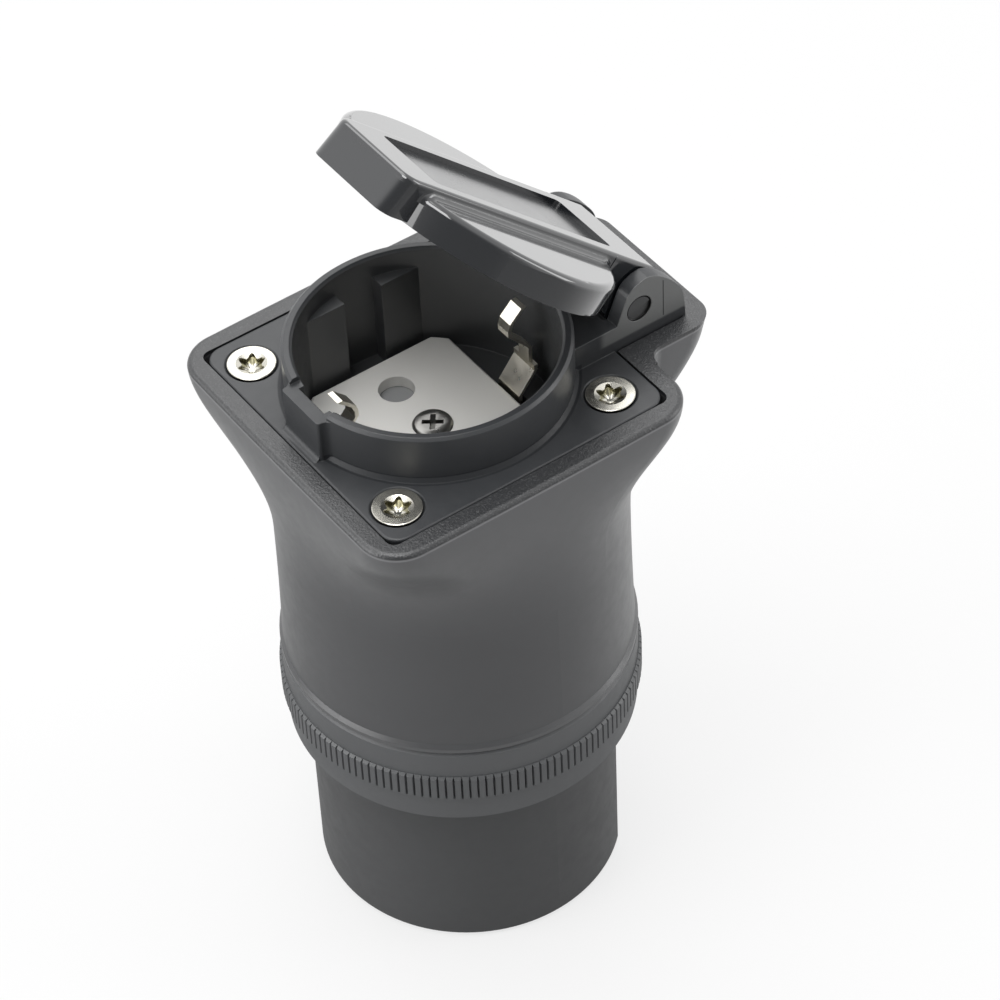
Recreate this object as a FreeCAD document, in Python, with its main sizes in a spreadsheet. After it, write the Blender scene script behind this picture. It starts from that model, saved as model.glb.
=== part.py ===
import FreeCAD, Part
import math
import os
import Sketcher

# Discharge adapter: a D-shaped vehicle nose, a ribbed union ring, a flared
# housing and a lidded mains socket set in its top. Millimetres, +Z up.
# Origin: centre of the nose's lower face. The lid's hinge is on the +Y side.

SIZES = {
    # nose and neck
    "nose_radius": 24.85, "nose_flat": 16.6, "nose_wall": 2.2, "nose_length": 33.0,
    "nose_chamfer": 0.8, "ledge_width": 1.7,
    "shoulder_step": 1.25, "shoulder_height": 3.0, "shoulder_offset": 3.0,
    "neck_inset": 1.25, "neck_wall": 2.3, "neck_length": 19.0,
    "clip_groove_depth": 0.7, "clip_thickness": 1.2, "clip_width": 3.3, "clip_opening": 9.0,
    "seal_thickness": 1.2,
    # union ring
    "ring_low_wall": 1.8, "ring_rib_wall": 2.55, "ring_high_wall": 2.0, "ring_edge": 0.4,
    "ring_low_band": 5.3, "ring_rib_band": 5.0, "ring_high_band": 4.95, "ring_lip": 2.7,
    "rib_total": 144.0, "rib_groove_depth": 0.5, "rib_groove_width": 0.55,
    # housing
    "housing_height": 53.6, "housing_wall": 2.6, "spigot_wall": 2.6,
    "foot_step": 0.05, "foot_bevel_height": 1.8,
    "waist_step": 0.45, "lower_step": 0.45, "flare_height": 27.2,
    "rim_side_wall": 3.33, "rim_end_wall": 3.3, "rim_corner": 6.4, "rim_round": 0.9,
    "pocket_corner": 1.5, "pocket_roof": 3.0, "screw_boss_radius": 3.6,
    "screw_boss_length": 7.0, "screw_hole_floor": 0.6,
    # hinge hump at the back of the housing
    "hump_half": 15.3, "hump_reach": 13.1, "hump_corner": 4.0, "hump_blend": 2.6,
    "hump_drop": 25.0,
    # flange plate, collar and cup
    "socket_back": -2.4, "plate_half": 25.0, "plate_front": 24.0, "plate_rear": 25.15,
    "plate_corner": 3.0, "plate_edge_round": 0.35, "plate_thickness": 4.0,
    "gasket_thickness": 1.0, "gasket_inset": 0.3,
    "collar_radius": 21.5, "recess_radius": 19.75, "collar_height": 8.3,
    "collar_round": 0.45, "floor_drop": 11.3, "floor_thickness": 2.7,
    "wall_block_face": 17.0, "wall_block_near": 3.3, "wall_block_far": 10.3,
    "wall_block_top": 4.5, "key_half": 3.3, "key_depth": 0.65,
    "boss_half": 4.7, "boss_reach": 22.5, "boss_top": 7.4, "boss_blend": 1.2,
    "boss_corner": 0.5, "boss_foot_round": 1.0,
    "flange_pitch": 38.0, "screw_radius": 1.9, "screw_head_radius": 3.85,
    "screw_head_depth": 2.2, "screw_length": 10.8,
    # hinge
    "pin_back": 29.64, "pin_rise": 5.97, "pin_radius": 2.0, "ear_outer": 12.1,
    "ear_thickness": 2.4, "ear_top": 11.2, "ear_front": 4.54, "ear_rear": 38.05,
    "ear_foot": 0.2, "step_front": 17.8, "step_top": 4.5, "hinge_foot": 38.9,
    "hinge_corner": 2.0, "knuckle_radius": 4.45, "pin_mouth_radius": 2.25,
    "pin_mouth_depth": 0.5, "pin_step_depth": 0.45,
    # lid
    "lid_open": 43.2, "lid_radius": 23.0, "lid_skirt_wall": 1.15, "lid_skirt_drop": 0.55,
    "lid_top": 4.3, "lid_under": 3.0, "lid_edge_round": 1.1, "lid_cove": 1.2,
    "band_top": 5.8, "band_rear": 1.95, "band_half_rear": 9.4, "band_half_front": 8.9,
    "band_edge_round": 0.7, "tab_reach": 55.1, "tab_lean": 1.15, "tab_low": 0.3,
    "tab_round": 2.4, "tab_wall": 1.6, "label_from": 6.5, "label_to": 47.5,
    "label_half": 6.65, "label_depth": 0.9, "label_round": 1.0,
    "lid_seal_inner": 19.95, "lid_seal_outer": 21.25, "lid_seal_height": 1.0,
    "lid_groove_depth": 0.55,
    # front tile, its screw and the shutter behind it
    "tile_half_wide": 16.1, "tile_half_deep": 12.9, "tile_chamfer": 2.0,
    "tile_thickness": 2.0, "pin_pitch": 19.0, "pin_hole_radius": 2.8,
    "tile_screw_radius": 1.5, "tile_screw_head": 3.0, "tile_screw_head_height": 0.9,
    "tile_screw_length": 13.0, "tile_seat_depth": 1.0,
    "shutter_half": 12.8, "shutter_thickness": 1.4, "shutter_travel": 6.0,
    "shutter_window_radius": 2.9, "shutter_edge": 4.1, "spring_thickness": 0.25,
    "spring_width": 1.1, "spring_wave": 1.5, "spring_seat": 12.2,
    # base, contacts and terminals
    "base_half_wide": 16.5, "base_half_deep": 12.6, "base_depth": 12.0,
    "base_chamfer": 3.0, "clip_jaw_gap": 2.25, "clip_sheet": 0.7, "clip_half": 3.0,
    "clip_height": 10.2, "terminal_half": 3.2, "terminal_height": 7.0,
    "terminal_screw_radius": 1.25, "terminal_screw_length": 4.2,
    "strap_half": 2.6, "strap_sheet": 0.6, "strap_foot": 14.3, "strap_leg": 17.3,
    "strap_crest": 13.75, "strap_tip": 16.4, "strap_tip_half": 1.3, "strap_top": 5.8,
    # vehicle contacts
    "power_pitch": 13.5, "phase_offset": 7.2, "phase_drop": 11.8, "signal_rise": 10.2,
    "power_tower_radius": 5.2, "signal_tower_radius": 3.6, "carrier_depth": 14.0,
    "power_bore": 3.05, "power_sleeve": 4.0, "power_mouth": 3.3, "signal_bore": 1.55,
    "signal_sleeve": 2.3, "signal_mouth": 1.85, "mouth_depth": 3.0,
    "sleeve_depth": 28.0, "tail_length": 6.0, "tail_radius": 2.6, "lead_radius": 1.5,
    "resistor_radius": 1.1, "resistor_length": 5.0,
    # clearances
    "slip_gap": 0.1, "pin_gap": 0.05, "seam_gap": 0.2, "plate_gap": 0.22, "lid_gap": 0.3,
}

doc = FreeCAD.newDocument("discharge_adapter")
sheet = doc.addObject("Spreadsheet::Sheet", "Sizes")
for row, (alias, number) in enumerate(SIZES.items(), start=1):
    sheet.set(f"A{row}", alias)
    sheet.set(f"B{row}", repr(number))
    sheet.setAlias(f"B{row}", alias)
doc.recompute()


class Size:
    """A number together with the sheet expression that gives it."""

    def __init__(self, value, text):
        self.value = float(value)
        self.text = text

    def __add__(self, other):
        other = as_size(other)
        return Size(self.value + other.value, f"({self.text} + {other.text})")

    def __sub__(self, other):
        other = as_size(other)
        return Size(self.value - other.value, f"({self.text} - {other.text})")

    def __mul__(self, other):
        other = as_size(other)
        return Size(self.value * other.value, f"({self.text} * {other.text})")

    def __truediv__(self, other):
        other = as_size(other)
        return Size(self.value / other.value, f"({self.text} / {other.text})")

    def __radd__(self, other):
        return as_size(other) + self

    def __rsub__(self, other):
        return as_size(other) - self

    def __rmul__(self, other):
        return as_size(other) * self

    def __neg__(self):
        return Size(-self.value, f"(-1 * {self.text})")


def as_size(item):
    return item if isinstance(item, Size) else Size(item, repr(float(item)))


def root(item):
    return Size(math.sqrt(item.value), f"sqrt({item.text})")


def cosine(item):
    return Size(math.cos(math.radians(item.value)), f"cos({item.text} * 1 deg)")


def sine(item):
    return Size(math.sin(math.radians(item.value)), f"sin({item.text} * 1 deg)")


def named(alias):
    return Size(SIZES[alias], f"Sizes.{alias}")


class Names:
    """Gives each sheet value as an attribute."""

    def __getattr__(self, alias):
        return named(alias)


D = Names()
PIECES = {}

# Radii that follow from the nose outwards, and the rim's from the flange plate.
shoulder_radius = D.nose_radius + D.shoulder_step
neck_radius = D.nose_radius - D.neck_inset
spigot_radius = neck_radius + D.spigot_wall
ring_low_radius = spigot_radius + D.ring_low_wall
ring_rib_radius = spigot_radius + D.ring_rib_wall
ring_high_radius = spigot_radius + D.ring_high_wall
foot_radius = ring_high_radius + D.foot_step
waist_half = foot_radius - D.waist_step
lower_half = waist_half - D.lower_step
rim_half = D.plate_half + D.plate_gap + D.rim_side_wall
rim_depth_half = (D.plate_front + D.plate_rear) / 2 + D.plate_gap + D.rim_end_wall

# Heights that several pieces share.
ring_base = D.nose_length
ring_rib_base = ring_base + D.ring_low_band
ring_high_base = ring_rib_base + D.ring_rib_band
ring_top = ring_high_base + D.ring_high_band
housing_base = ring_top + D.seam_gap
plate_top = housing_base + D.housing_height
shoulder_base = ring_base + D.shoulder_offset
shoulder_top = shoulder_base + D.shoulder_height
spigot_base = shoulder_top + D.seal_thickness
neck_top = shoulder_top + D.neck_length
neck_bore = neck_radius - D.neck_wall
ledge_radius = neck_bore - D.ledge_width
ledge_top = shoulder_base
ledge_base = ring_base
carrier_top = ledge_top + D.carrier_depth
inner_nose = D.nose_radius - D.nose_wall
inner_flat = D.nose_flat - D.nose_wall
rim_centre = D.socket_back + (D.plate_rear - D.plate_front) / 2
rim_edge = plate_top - D.rim_round
flare_base = rim_edge - D.flare_height


def bind(item, prop, size):
    item.setExpression(prop, as_size(size).text)


def new_body(label, back=0, up=0):
    body = doc.addObject("PartDesign::Body", label)
    body.Label = label
    body.AllowCompound = True
    bind(body, "Placement.Base.y", back)
    bind(body, "Placement.Base.z", up)
    PIECES[label] = body
    return body


def origin_item(body, role):
    return [item for item in body.Origin.OriginFeatures if item.Role == role][0]


def arc_between(start, end, radius, turn):
    chord = end - start
    left = FreeCAD.Vector(-chord.y, chord.x, 0).normalize()
    rise = math.sqrt(max(radius * radius - chord.Length * chord.Length / 4, 0.0))
    centre = (start + end) * 0.5 + left * (rise * turn)
    first, last = (start, end) if turn > 0 else (end, start)
    begin = math.atan2(first.y - centre.y, first.x - centre.x)
    finish = math.atan2(last.y - centre.y, last.x - centre.x)
    circle = Part.Circle(centre, FreeCAD.Vector(0, 0, 1), radius)
    return Part.ArcOfCircle(circle, begin, finish)


def fix_point(sketch, index, place, x, y):
    for kind, size in (("DistanceX", x), ("DistanceY", y)):
        size = as_size(size)
        number = sketch.addConstraint(Sketcher.Constraint(kind, -1, 1, index, place, size.value))
        bind(sketch, f"Constraints[{number}]", size)


def add_outline(sketch, corners):
    """Closed outline. A corner (x, y, radius, turn) starts an arc, turn 1 is left."""
    points = [FreeCAD.Vector(as_size(c[0]).value, as_size(c[1]).value, 0) for c in corners]
    count = len(corners)
    starts = []
    ends = []
    for n, corner in enumerate(corners):
        start = points[n]
        end = points[(n + 1) % count]
        if len(corner) == 2:
            index = sketch.addGeometry(Part.LineSegment(start, end))
            starts.append((index, 1))
            ends.append((index, 2))
            continue
        radius = as_size(corner[2])
        index = sketch.addGeometry(arc_between(start, end, radius.value, corner[3]))
        starts.append((index, 1 if corner[3] > 0 else 2))
        ends.append((index, 2 if corner[3] > 0 else 1))
        number = sketch.addConstraint(Sketcher.Constraint("Radius", index, radius.value))
        bind(sketch, f"Constraints[{number}]", radius)
    for n in range(count):
        sketch.addConstraint(Sketcher.Constraint("Coincident", *ends[n - 1], *starts[n]))
        fix_point(sketch, starts[n][0], starts[n][1], corners[n][0], corners[n][1])


def add_circle(sketch, x, y, radius):
    radius = as_size(radius)
    centre = FreeCAD.Vector(as_size(x).value, as_size(y).value, 0)
    circle = Part.Circle(centre, FreeCAD.Vector(0, 0, 1), radius.value)
    index = sketch.addGeometry(circle)
    number = sketch.addConstraint(Sketcher.Constraint("Radius", index, radius.value))
    bind(sketch, f"Constraints[{number}]", radius)
    fix_point(sketch, index, 3, x, y)


def new_sketch(body, name, plane, outlines=(), circles=(), offset=0, across=0):
    sketch = body.newObject("Sketcher::SketchObject", name)
    sketch.AttachmentSupport = [(origin_item(body, plane + "_Plane"), "")]
    sketch.MapMode = "FlatFace"
    bind(sketch, "AttachmentOffset.Base.x", across)
    bind(sketch, "AttachmentOffset.Base.z", offset)
    for outline in outlines:
        add_outline(sketch, outline)
    for circle in circles:
        add_circle(sketch, *circle)
    doc.recompute()
    return sketch


def finish(body, feature, cuts=False, before=0.0):
    doc.recompute()
    if "Invalid" in feature.State or feature.Shape.isNull():
        raise RuntimeError(f"{body.Label}: {feature.Name} failed")
    if cuts and feature.Shape.Volume >= before - 1e-6:
        raise RuntimeError(f"{body.Label}: {feature.Name} removed nothing")
    return feature


def extrude(body, kind, name, sketch, length, both=False, down=False):
    before = body.Shape.Volume if body.Tip else 0.0
    feature = body.newObject("PartDesign::" + kind, name)
    feature.Profile = sketch
    if both:
        feature.Midplane = True
    feature.Reversed = down
    bind(feature, "Length", length)
    return finish(body, feature, kind == "Pocket", before)


def pad(body, name, sketch, length, both=False, down=False):
    return extrude(body, "Pad", name, sketch, length, both, down)


def pocket(body, name, sketch, length, both=False, up=False):
    return extrude(body, "Pocket", name, sketch, length, both, up)


def spin(body, kind, name, outline):
    before = body.Shape.Volume if body.Tip else 0.0
    sketch = new_sketch(body, name + "_profile", "XZ", [outline])
    feature = body.newObject("PartDesign::" + kind, name)
    feature.Profile = sketch
    feature.ReferenceAxis = (sketch, ["V_Axis"])
    feature.Angle = 360
    return finish(body, feature, kind == "Groove", before)


def revolve(body, name, outline):
    return spin(body, "Revolution", name, outline)


def groove(body, name, outline):
    return spin(body, "Groove", name, outline)


def ring_of(body, name, feature, count):
    pattern = body.newObject("PartDesign::PolarPattern", name)
    pattern.Originals = [feature]
    pattern.Axis = (origin_item(body, "Z_Axis"), [""])
    pattern.Angle = 360
    pattern.Occurrences = int(round(as_size(count).value))
    if isinstance(count, Size):
        bind(pattern, "Occurrences", count)
    body.Tip = pattern
    return finish(body, pattern)


def soften(body, kind, name, size, test):
    """Fillet or chamfer on the edges of the body that pass the test."""
    base = body.Tip
    names = [f"Edge{n}" for n, edge in enumerate(base.Shape.Edges, start=1) if test(edge)]
    if not names:
        raise RuntimeError(f"{body.Label}: {name} found no edge")
    feature = body.newObject("PartDesign::" + kind, name)
    feature.Base = (base, names)
    bind(feature, "Radius" if kind == "Fillet" else "Size", size)
    return finish(body, feature)


def rectangle(left, right, low, high):
    return [(left, low), (right, low), (right, high), (left, high)]


def rounded(left, right, low, high, corner):
    return [
        (left + corner, low), (right - corner, low, corner, 1),
        (right, low + corner), (right, high - corner, corner, 1),
        (right - corner, high), (left + corner, high, corner, 1),
        (left, high - corner), (left, low + corner, corner, 1),
    ]


def chamfered(half_wide, half_deep, cut):
    return [
        (-half_wide + cut, -half_deep), (half_wide - cut, -half_deep),
        (half_wide, -half_deep + cut), (half_wide, half_deep - cut),
        (half_wide - cut, half_deep), (-half_wide + cut, half_deep),
        (-half_wide, half_deep - cut), (-half_wide, -half_deep + cut),
    ]


def near(value, size, slack=0.02):
    return abs(value - as_size(size).value) < slack


def box_of(edge):
    return edge.BoundBox


def flat_at(edge, size):
    return near(box_of(edge).ZMin, size) and near(box_of(edge).ZMax, size)


def d_outline(radius, flat):
    side = root(radius * radius - flat * flat)
    return [(-side, flat, radius, 1), (0 * radius, -radius, radius, 1), (side, flat)]


def make_plug_shell():
    body = new_body("plug_shell")
    sketch = new_sketch(body, "nose_outline", "XY", [d_outline(D.nose_radius, D.nose_flat)])
    pad(body, "nose", sketch, ring_base)
    soften(body, "Chamfer", "nose_entry", D.nose_chamfer, lambda e: flat_at(e, 0))
    revolve(body, "shoulder_and_neck", [
        (0, ring_base), (D.nose_radius, ring_base), (D.nose_radius, shoulder_base),
        (shoulder_radius, shoulder_base), (shoulder_radius, shoulder_top),
        (neck_radius, shoulder_top), (neck_radius, neck_top), (0, neck_top)])
    sketch = new_sketch(body, "nose_hollow_outline", "XY", [d_outline(inner_nose, inner_flat)])
    pocket(body, "nose_hollow", sketch, ledge_base, up=True)
    sketch = new_sketch(body, "ledge_outline", "XY", [d_outline(ledge_radius, inner_flat)],
                        offset=ledge_base)
    pocket(body, "ledge_opening", sketch, ledge_top - ledge_base, up=True)
    groove(body, "neck_bore", [
        (0, ledge_top), (neck_bore, ledge_top), (neck_bore, carrier_top),
        (neck_bore + D.clip_groove_depth, carrier_top),
        (neck_bore + D.clip_groove_depth, carrier_top + D.clip_thickness + D.slip_gap),
        (neck_bore, carrier_top + D.clip_thickness + D.slip_gap),
        (neck_bore, neck_top + 1), (0, neck_top + 1)])


def make_seal_ring():
    body = new_body("seal_ring")
    revolve(body, "seal", [
        (neck_radius + D.slip_gap, shoulder_top), (shoulder_radius, shoulder_top),
        (shoulder_radius, spigot_base), (neck_radius + D.slip_gap, spigot_base)])


def make_grip_ring():
    body = new_body("grip_ring")
    lip_top = ring_base + D.ring_lip
    lip_radius = D.nose_radius + D.seam_gap
    thread_radius = spigot_radius + D.slip_gap
    edge = D.ring_edge
    revolve(body, "ring", [
        (lip_radius, ring_base), (ring_low_radius - edge, ring_base),
        (ring_low_radius, ring_base + edge), (ring_low_radius, ring_rib_base),
        (ring_rib_radius - edge, ring_rib_base), (ring_rib_radius, ring_rib_base + edge),
        (ring_rib_radius, ring_high_base - edge), (ring_rib_radius - edge, ring_high_base),
        (ring_high_radius, ring_high_base), (ring_high_radius, ring_top - edge),
        (ring_high_radius - edge, ring_top), (thread_radius, ring_top),
        (thread_radius, lip_top), (lip_radius, lip_top)])
    width = D.rib_groove_width / 2
    root_radius = ring_rib_radius - D.rib_groove_depth
    sketch = new_sketch(body, "rib_gap_outline", "XY", [[
        (root_radius, 0), (ring_rib_radius + 0.2, -width), (ring_rib_radius + 0.2, width)]],
        offset=ring_rib_base)
    cut = pocket(body, "rib_gap", sketch, D.ring_rib_band, up=True)
    ring_of(body, "rib_gaps", cut, D.rib_total)


FLARE_STEPS = 5
ROUND_SWING = 22.5
RIM_SWING = 0.85
HUMP_STEPS = 7


def ease(share, power):
    """Runs smoothly from 1 at share 0 to 0 at share 1."""
    return (1 + math.cos(math.pi * share ** power)) / 2


def squared(half, deep, corner, swing, centre):
    """Square outline with bowed sides and round corners; a circle when corner equals half.

    Each bowed side spans the angle swing to either side of its middle.
    """
    turn = math.radians(swing)
    side = math.sin(turn)
    sag = 1 - math.cos(turn)
    span = sag * sag - side * side
    wide = half - corner
    long = deep - corner
    flank = corner + (wide * sag - long * side) / span
    face = corner + (long * sag - wide * side) / span
    x1, y1 = half - flank * sag, flank * side
    x2, y2 = face * side, deep - face * sag
    return [
        (x1, centre - y1, flank, 1), (x1, centre + y1, corner, 1),
        (x2, centre + y2, face, 1), (-x2, centre + y2, corner, 1),
        (-x1, centre + y1, flank, 1), (-x1, centre - y1, corner, 1),
        (-x2, centre - y2, face, 1), (x2, centre - y2, corner, 1)]


def flare_station(share):
    """Cross-section of the flare: the round barrel at share 0, the square rim at share 1."""
    grown = 1 - ease(share, 1.4)
    level = flare_base + (rim_edge - flare_base) * share
    half = lower_half + (rim_half - lower_half) * grown
    deep = lower_half + (rim_depth_half - lower_half) * grown
    corner = D.rim_corner + (lower_half - D.rim_corner) * ease(share, 1.08)
    swing = RIM_SWING + (ROUND_SWING - RIM_SWING) * ease(share, 1.08)
    return level, half, deep, corner, swing, rim_centre * (1 - ease(share, 1.15))


def rim_station(angle):
    """One step of the rim's rounded outer edge, from upright at 0 to flat at 90 degrees."""
    turn = math.radians(angle)
    drop = D.rim_round * (1 - math.sin(turn))
    inset = D.rim_round * (1 - math.cos(turn))
    return (plate_top - drop, rim_half - inset, rim_depth_half - inset,
            D.rim_corner - inset, RIM_SWING, rim_centre)


def loft(body, name, stations):
    sketches = []
    for n, (level, half, deep, corner, swing, centre) in enumerate(stations):
        outline = squared(half, deep, corner, swing, centre)
        sketches.append(new_sketch(body, f"{name}_section_{n}", "XY", [outline], offset=level))
    feature = body.newObject("PartDesign::AdditiveLoft", name)
    feature.Profile = sketches[0]
    feature.Sections = sketches[1:]
    return finish(body, feature)


def hump_outline(half, rear, wall, corner, blend):
    front = wall - 8
    return [
        (-half - blend, front), (half + blend, front), (half + blend, wall, blend, -1),
        (half, wall + blend), (half, rear - corner, corner, 1),
        (half - corner, rear), (-half + corner, rear, corner, 1),
        (-half, rear - corner), (-half, wall + blend, blend, -1), (-half - blend, wall)]


def make_hump(body):
    """Back of the housing swells out round the hinge and runs back to the round waist."""
    sketches = []
    for n in range(HUMP_STEPS + 1):
        down = 1 - n / HUMP_STEPS
        level = plate_top - D.hump_drop * down
        share = (level.value - flare_base.value) / (rim_edge.value - flare_base.value)
        section = flare_station(min(max(share, 0.0), 1.0))
        skin = section[5] + section[2]
        rear = skin + D.hump_reach * ease(down, 1.2) - 0.35 * down
        corner = D.hump_corner + (D.hump_half * 0.8 - D.hump_corner) * down
        deepest = rear - corner - D.hump_blend - 0.3
        wall = skin - 0.15 if deepest.value > skin.value - 0.15 else deepest
        outline = hump_outline(D.hump_half * (1 - 0.1 * down * down), rear, wall, corner,
                               D.hump_blend)
        sketches.append(new_sketch(body, f"hump_section_{n}", "XY", [outline], offset=level))
    feature = body.newObject("PartDesign::AdditiveLoft", "hump")
    feature.Profile = sketches[0]
    feature.Sections = sketches[1:]
    finish(body, feature)


def make_housing():
    body = new_body("housing_shell")
    bevel = D.foot_bevel_height
    waist = housing_base + bevel
    narrowing = waist_half - lower_half
    rise = flare_base - waist
    sweep = (rise * rise + narrowing * narrowing) / (narrowing * 2)
    revolve(body, "spigot_and_barrel", [
        (0, spigot_base), (spigot_radius, spigot_base), (spigot_radius, housing_base),
        (foot_radius - 0.3, housing_base), (foot_radius, housing_base + 0.35),
        (foot_radius, housing_base + bevel * 0.6), (waist_half, waist, sweep, -1),
        (lower_half, flare_base), (0, flare_base)])
    loft(body, "flare", [flare_station(n / FLARE_STEPS) for n in range(FLARE_STEPS + 1)])
    loft(body, "rim_rounding", [rim_station(angle) for angle in (0, 30, 60, 90)])
    make_hump(body)
    cavity_top = plate_top - D.plate_thickness - D.gasket_thickness - D.pocket_roof
    room = lower_half - D.housing_wall
    seat = neck_radius + D.slip_gap
    groove(body, "cavity", [
        (0, spigot_base - 1), (seat, spigot_base - 1), (seat, neck_top + 0.5),
        (room, neck_top + 0.5), (room, cavity_top), (0, cavity_top)])
    front = D.socket_back - D.plate_front - D.plate_gap
    back = D.socket_back + D.plate_rear + D.plate_gap
    half = D.plate_half + D.plate_gap
    sketch = new_sketch(body, "flange_pocket_outline", "XY",
                        [rounded(-half, half, front, back, D.pocket_corner)], offset=plate_top)
    pocket(body, "flange_pocket", sketch, D.plate_thickness + D.gasket_thickness)
    side = D.ear_outer + D.plate_gap
    rear = D.socket_back + D.hinge_foot + D.plate_gap
    sketch = new_sketch(body, "hinge_pocket_outline", "XY",
                        [rounded(-side, side, back - 6, rear, D.hinge_corner + D.plate_gap)],
                        offset=plate_top)
    pocket(body, "hinge_pocket", sketch, D.plate_thickness)
    cup = D.collar_radius + D.lid_gap
    reach = D.flange_pitch / 2
    spots = [(reach * a, D.socket_back + reach * b) for a in (-1, 1) for b in (-1, 1)]
    boss_top = plate_top - D.plate_thickness - D.gasket_thickness
    sketch = new_sketch(body, "screw_boss_outline", "XY",
                        circles=[(x, y, D.screw_boss_radius) for x, y in spots], offset=boss_top)
    pad(body, "screw_bosses", sketch, D.screw_boss_length, down=True)
    sketch = new_sketch(body, "screw_hole_outline", "XY",
                        circles=[(x, y, D.screw_radius + D.pin_gap) for x, y in spots],
                        offset=boss_top)
    pocket(body, "screw_holes", sketch, D.screw_boss_length - D.screw_hole_floor)
    sketch = new_sketch(body, "cup_hole_outline", "XY",
                        circles=[(as_size(0), D.socket_back, cup)], offset=boss_top)
    pocket(body, "cup_hole", sketch, D.pocket_roof + 2)


def make_gasket():
    body = new_body("flange_gasket", D.socket_back, plate_top)
    inset = D.gasket_inset
    reach = D.flange_pitch / 2
    outline = rounded(-D.plate_half + inset, D.plate_half - inset, -D.plate_front + inset,
                      D.plate_rear - inset, D.plate_corner)
    holes = [(reach * a, reach * b, D.screw_radius + 0.25) for a in (-1, 1) for b in (-1, 1)]
    holes.append((as_size(0), as_size(0), D.collar_radius + D.lid_gap))
    level = -D.plate_thickness - D.gasket_thickness
    sketch = new_sketch(body, "gasket_outline", "XY", [outline], holes, offset=level)
    pad(body, "gasket", sketch, D.gasket_thickness)


floor_top = -D.floor_drop
floor_base = floor_top - D.floor_thickness
tile_top = floor_top + D.tile_thickness
pin_half = D.pin_pitch / 2


def ear_outline():
    """Side view of a hinge ear, given in shares of its height and depth."""
    top = D.ear_top
    front = D.pin_back - D.ear_front
    rear = D.ear_rear
    deep = rear - front
    return [
        (front, 0), (rear + D.ear_foot, 0), (rear, top * 0.295, deep * 0.5, 1),
        (rear - deep * 0.112, top * 0.634, deep * 1.08, 1),
        (rear - deep * 0.359, top * 0.92, deep * 0.46, 1),
        (front + deep * 0.479, top, deep * 0.46, 1),
        (front + deep * 0.293, top * 0.938, deep * 0.232, 1),
        (front + deep * 0.178, top * 0.804), (front + deep * 0.015, top * 0.357)]


def boss_outline():
    """Plan of the front boss, its sides running into the round collar."""
    half = D.boss_half
    reach = D.boss_reach
    blend = D.boss_blend
    corner = D.boss_corner
    shell = D.collar_radius
    middle = root((shell + blend) * (shell + blend) - (half + blend) * (half + blend))
    share = shell / (shell + blend)
    meet_x = (half + blend) * share
    meet_y = middle * share
    inner = shell - 3
    return [
        (-half + corner, -reach), (half - corner, -reach, corner, 1),
        (half, -reach + corner), (half, -middle, blend, -1), (meet_x, -meet_y),
        (meet_x, -inner), (-meet_x, -inner), (-meet_x, -meet_y, blend, -1),
        (-half, -middle), (-half, -reach + corner, corner, 1)]


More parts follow.
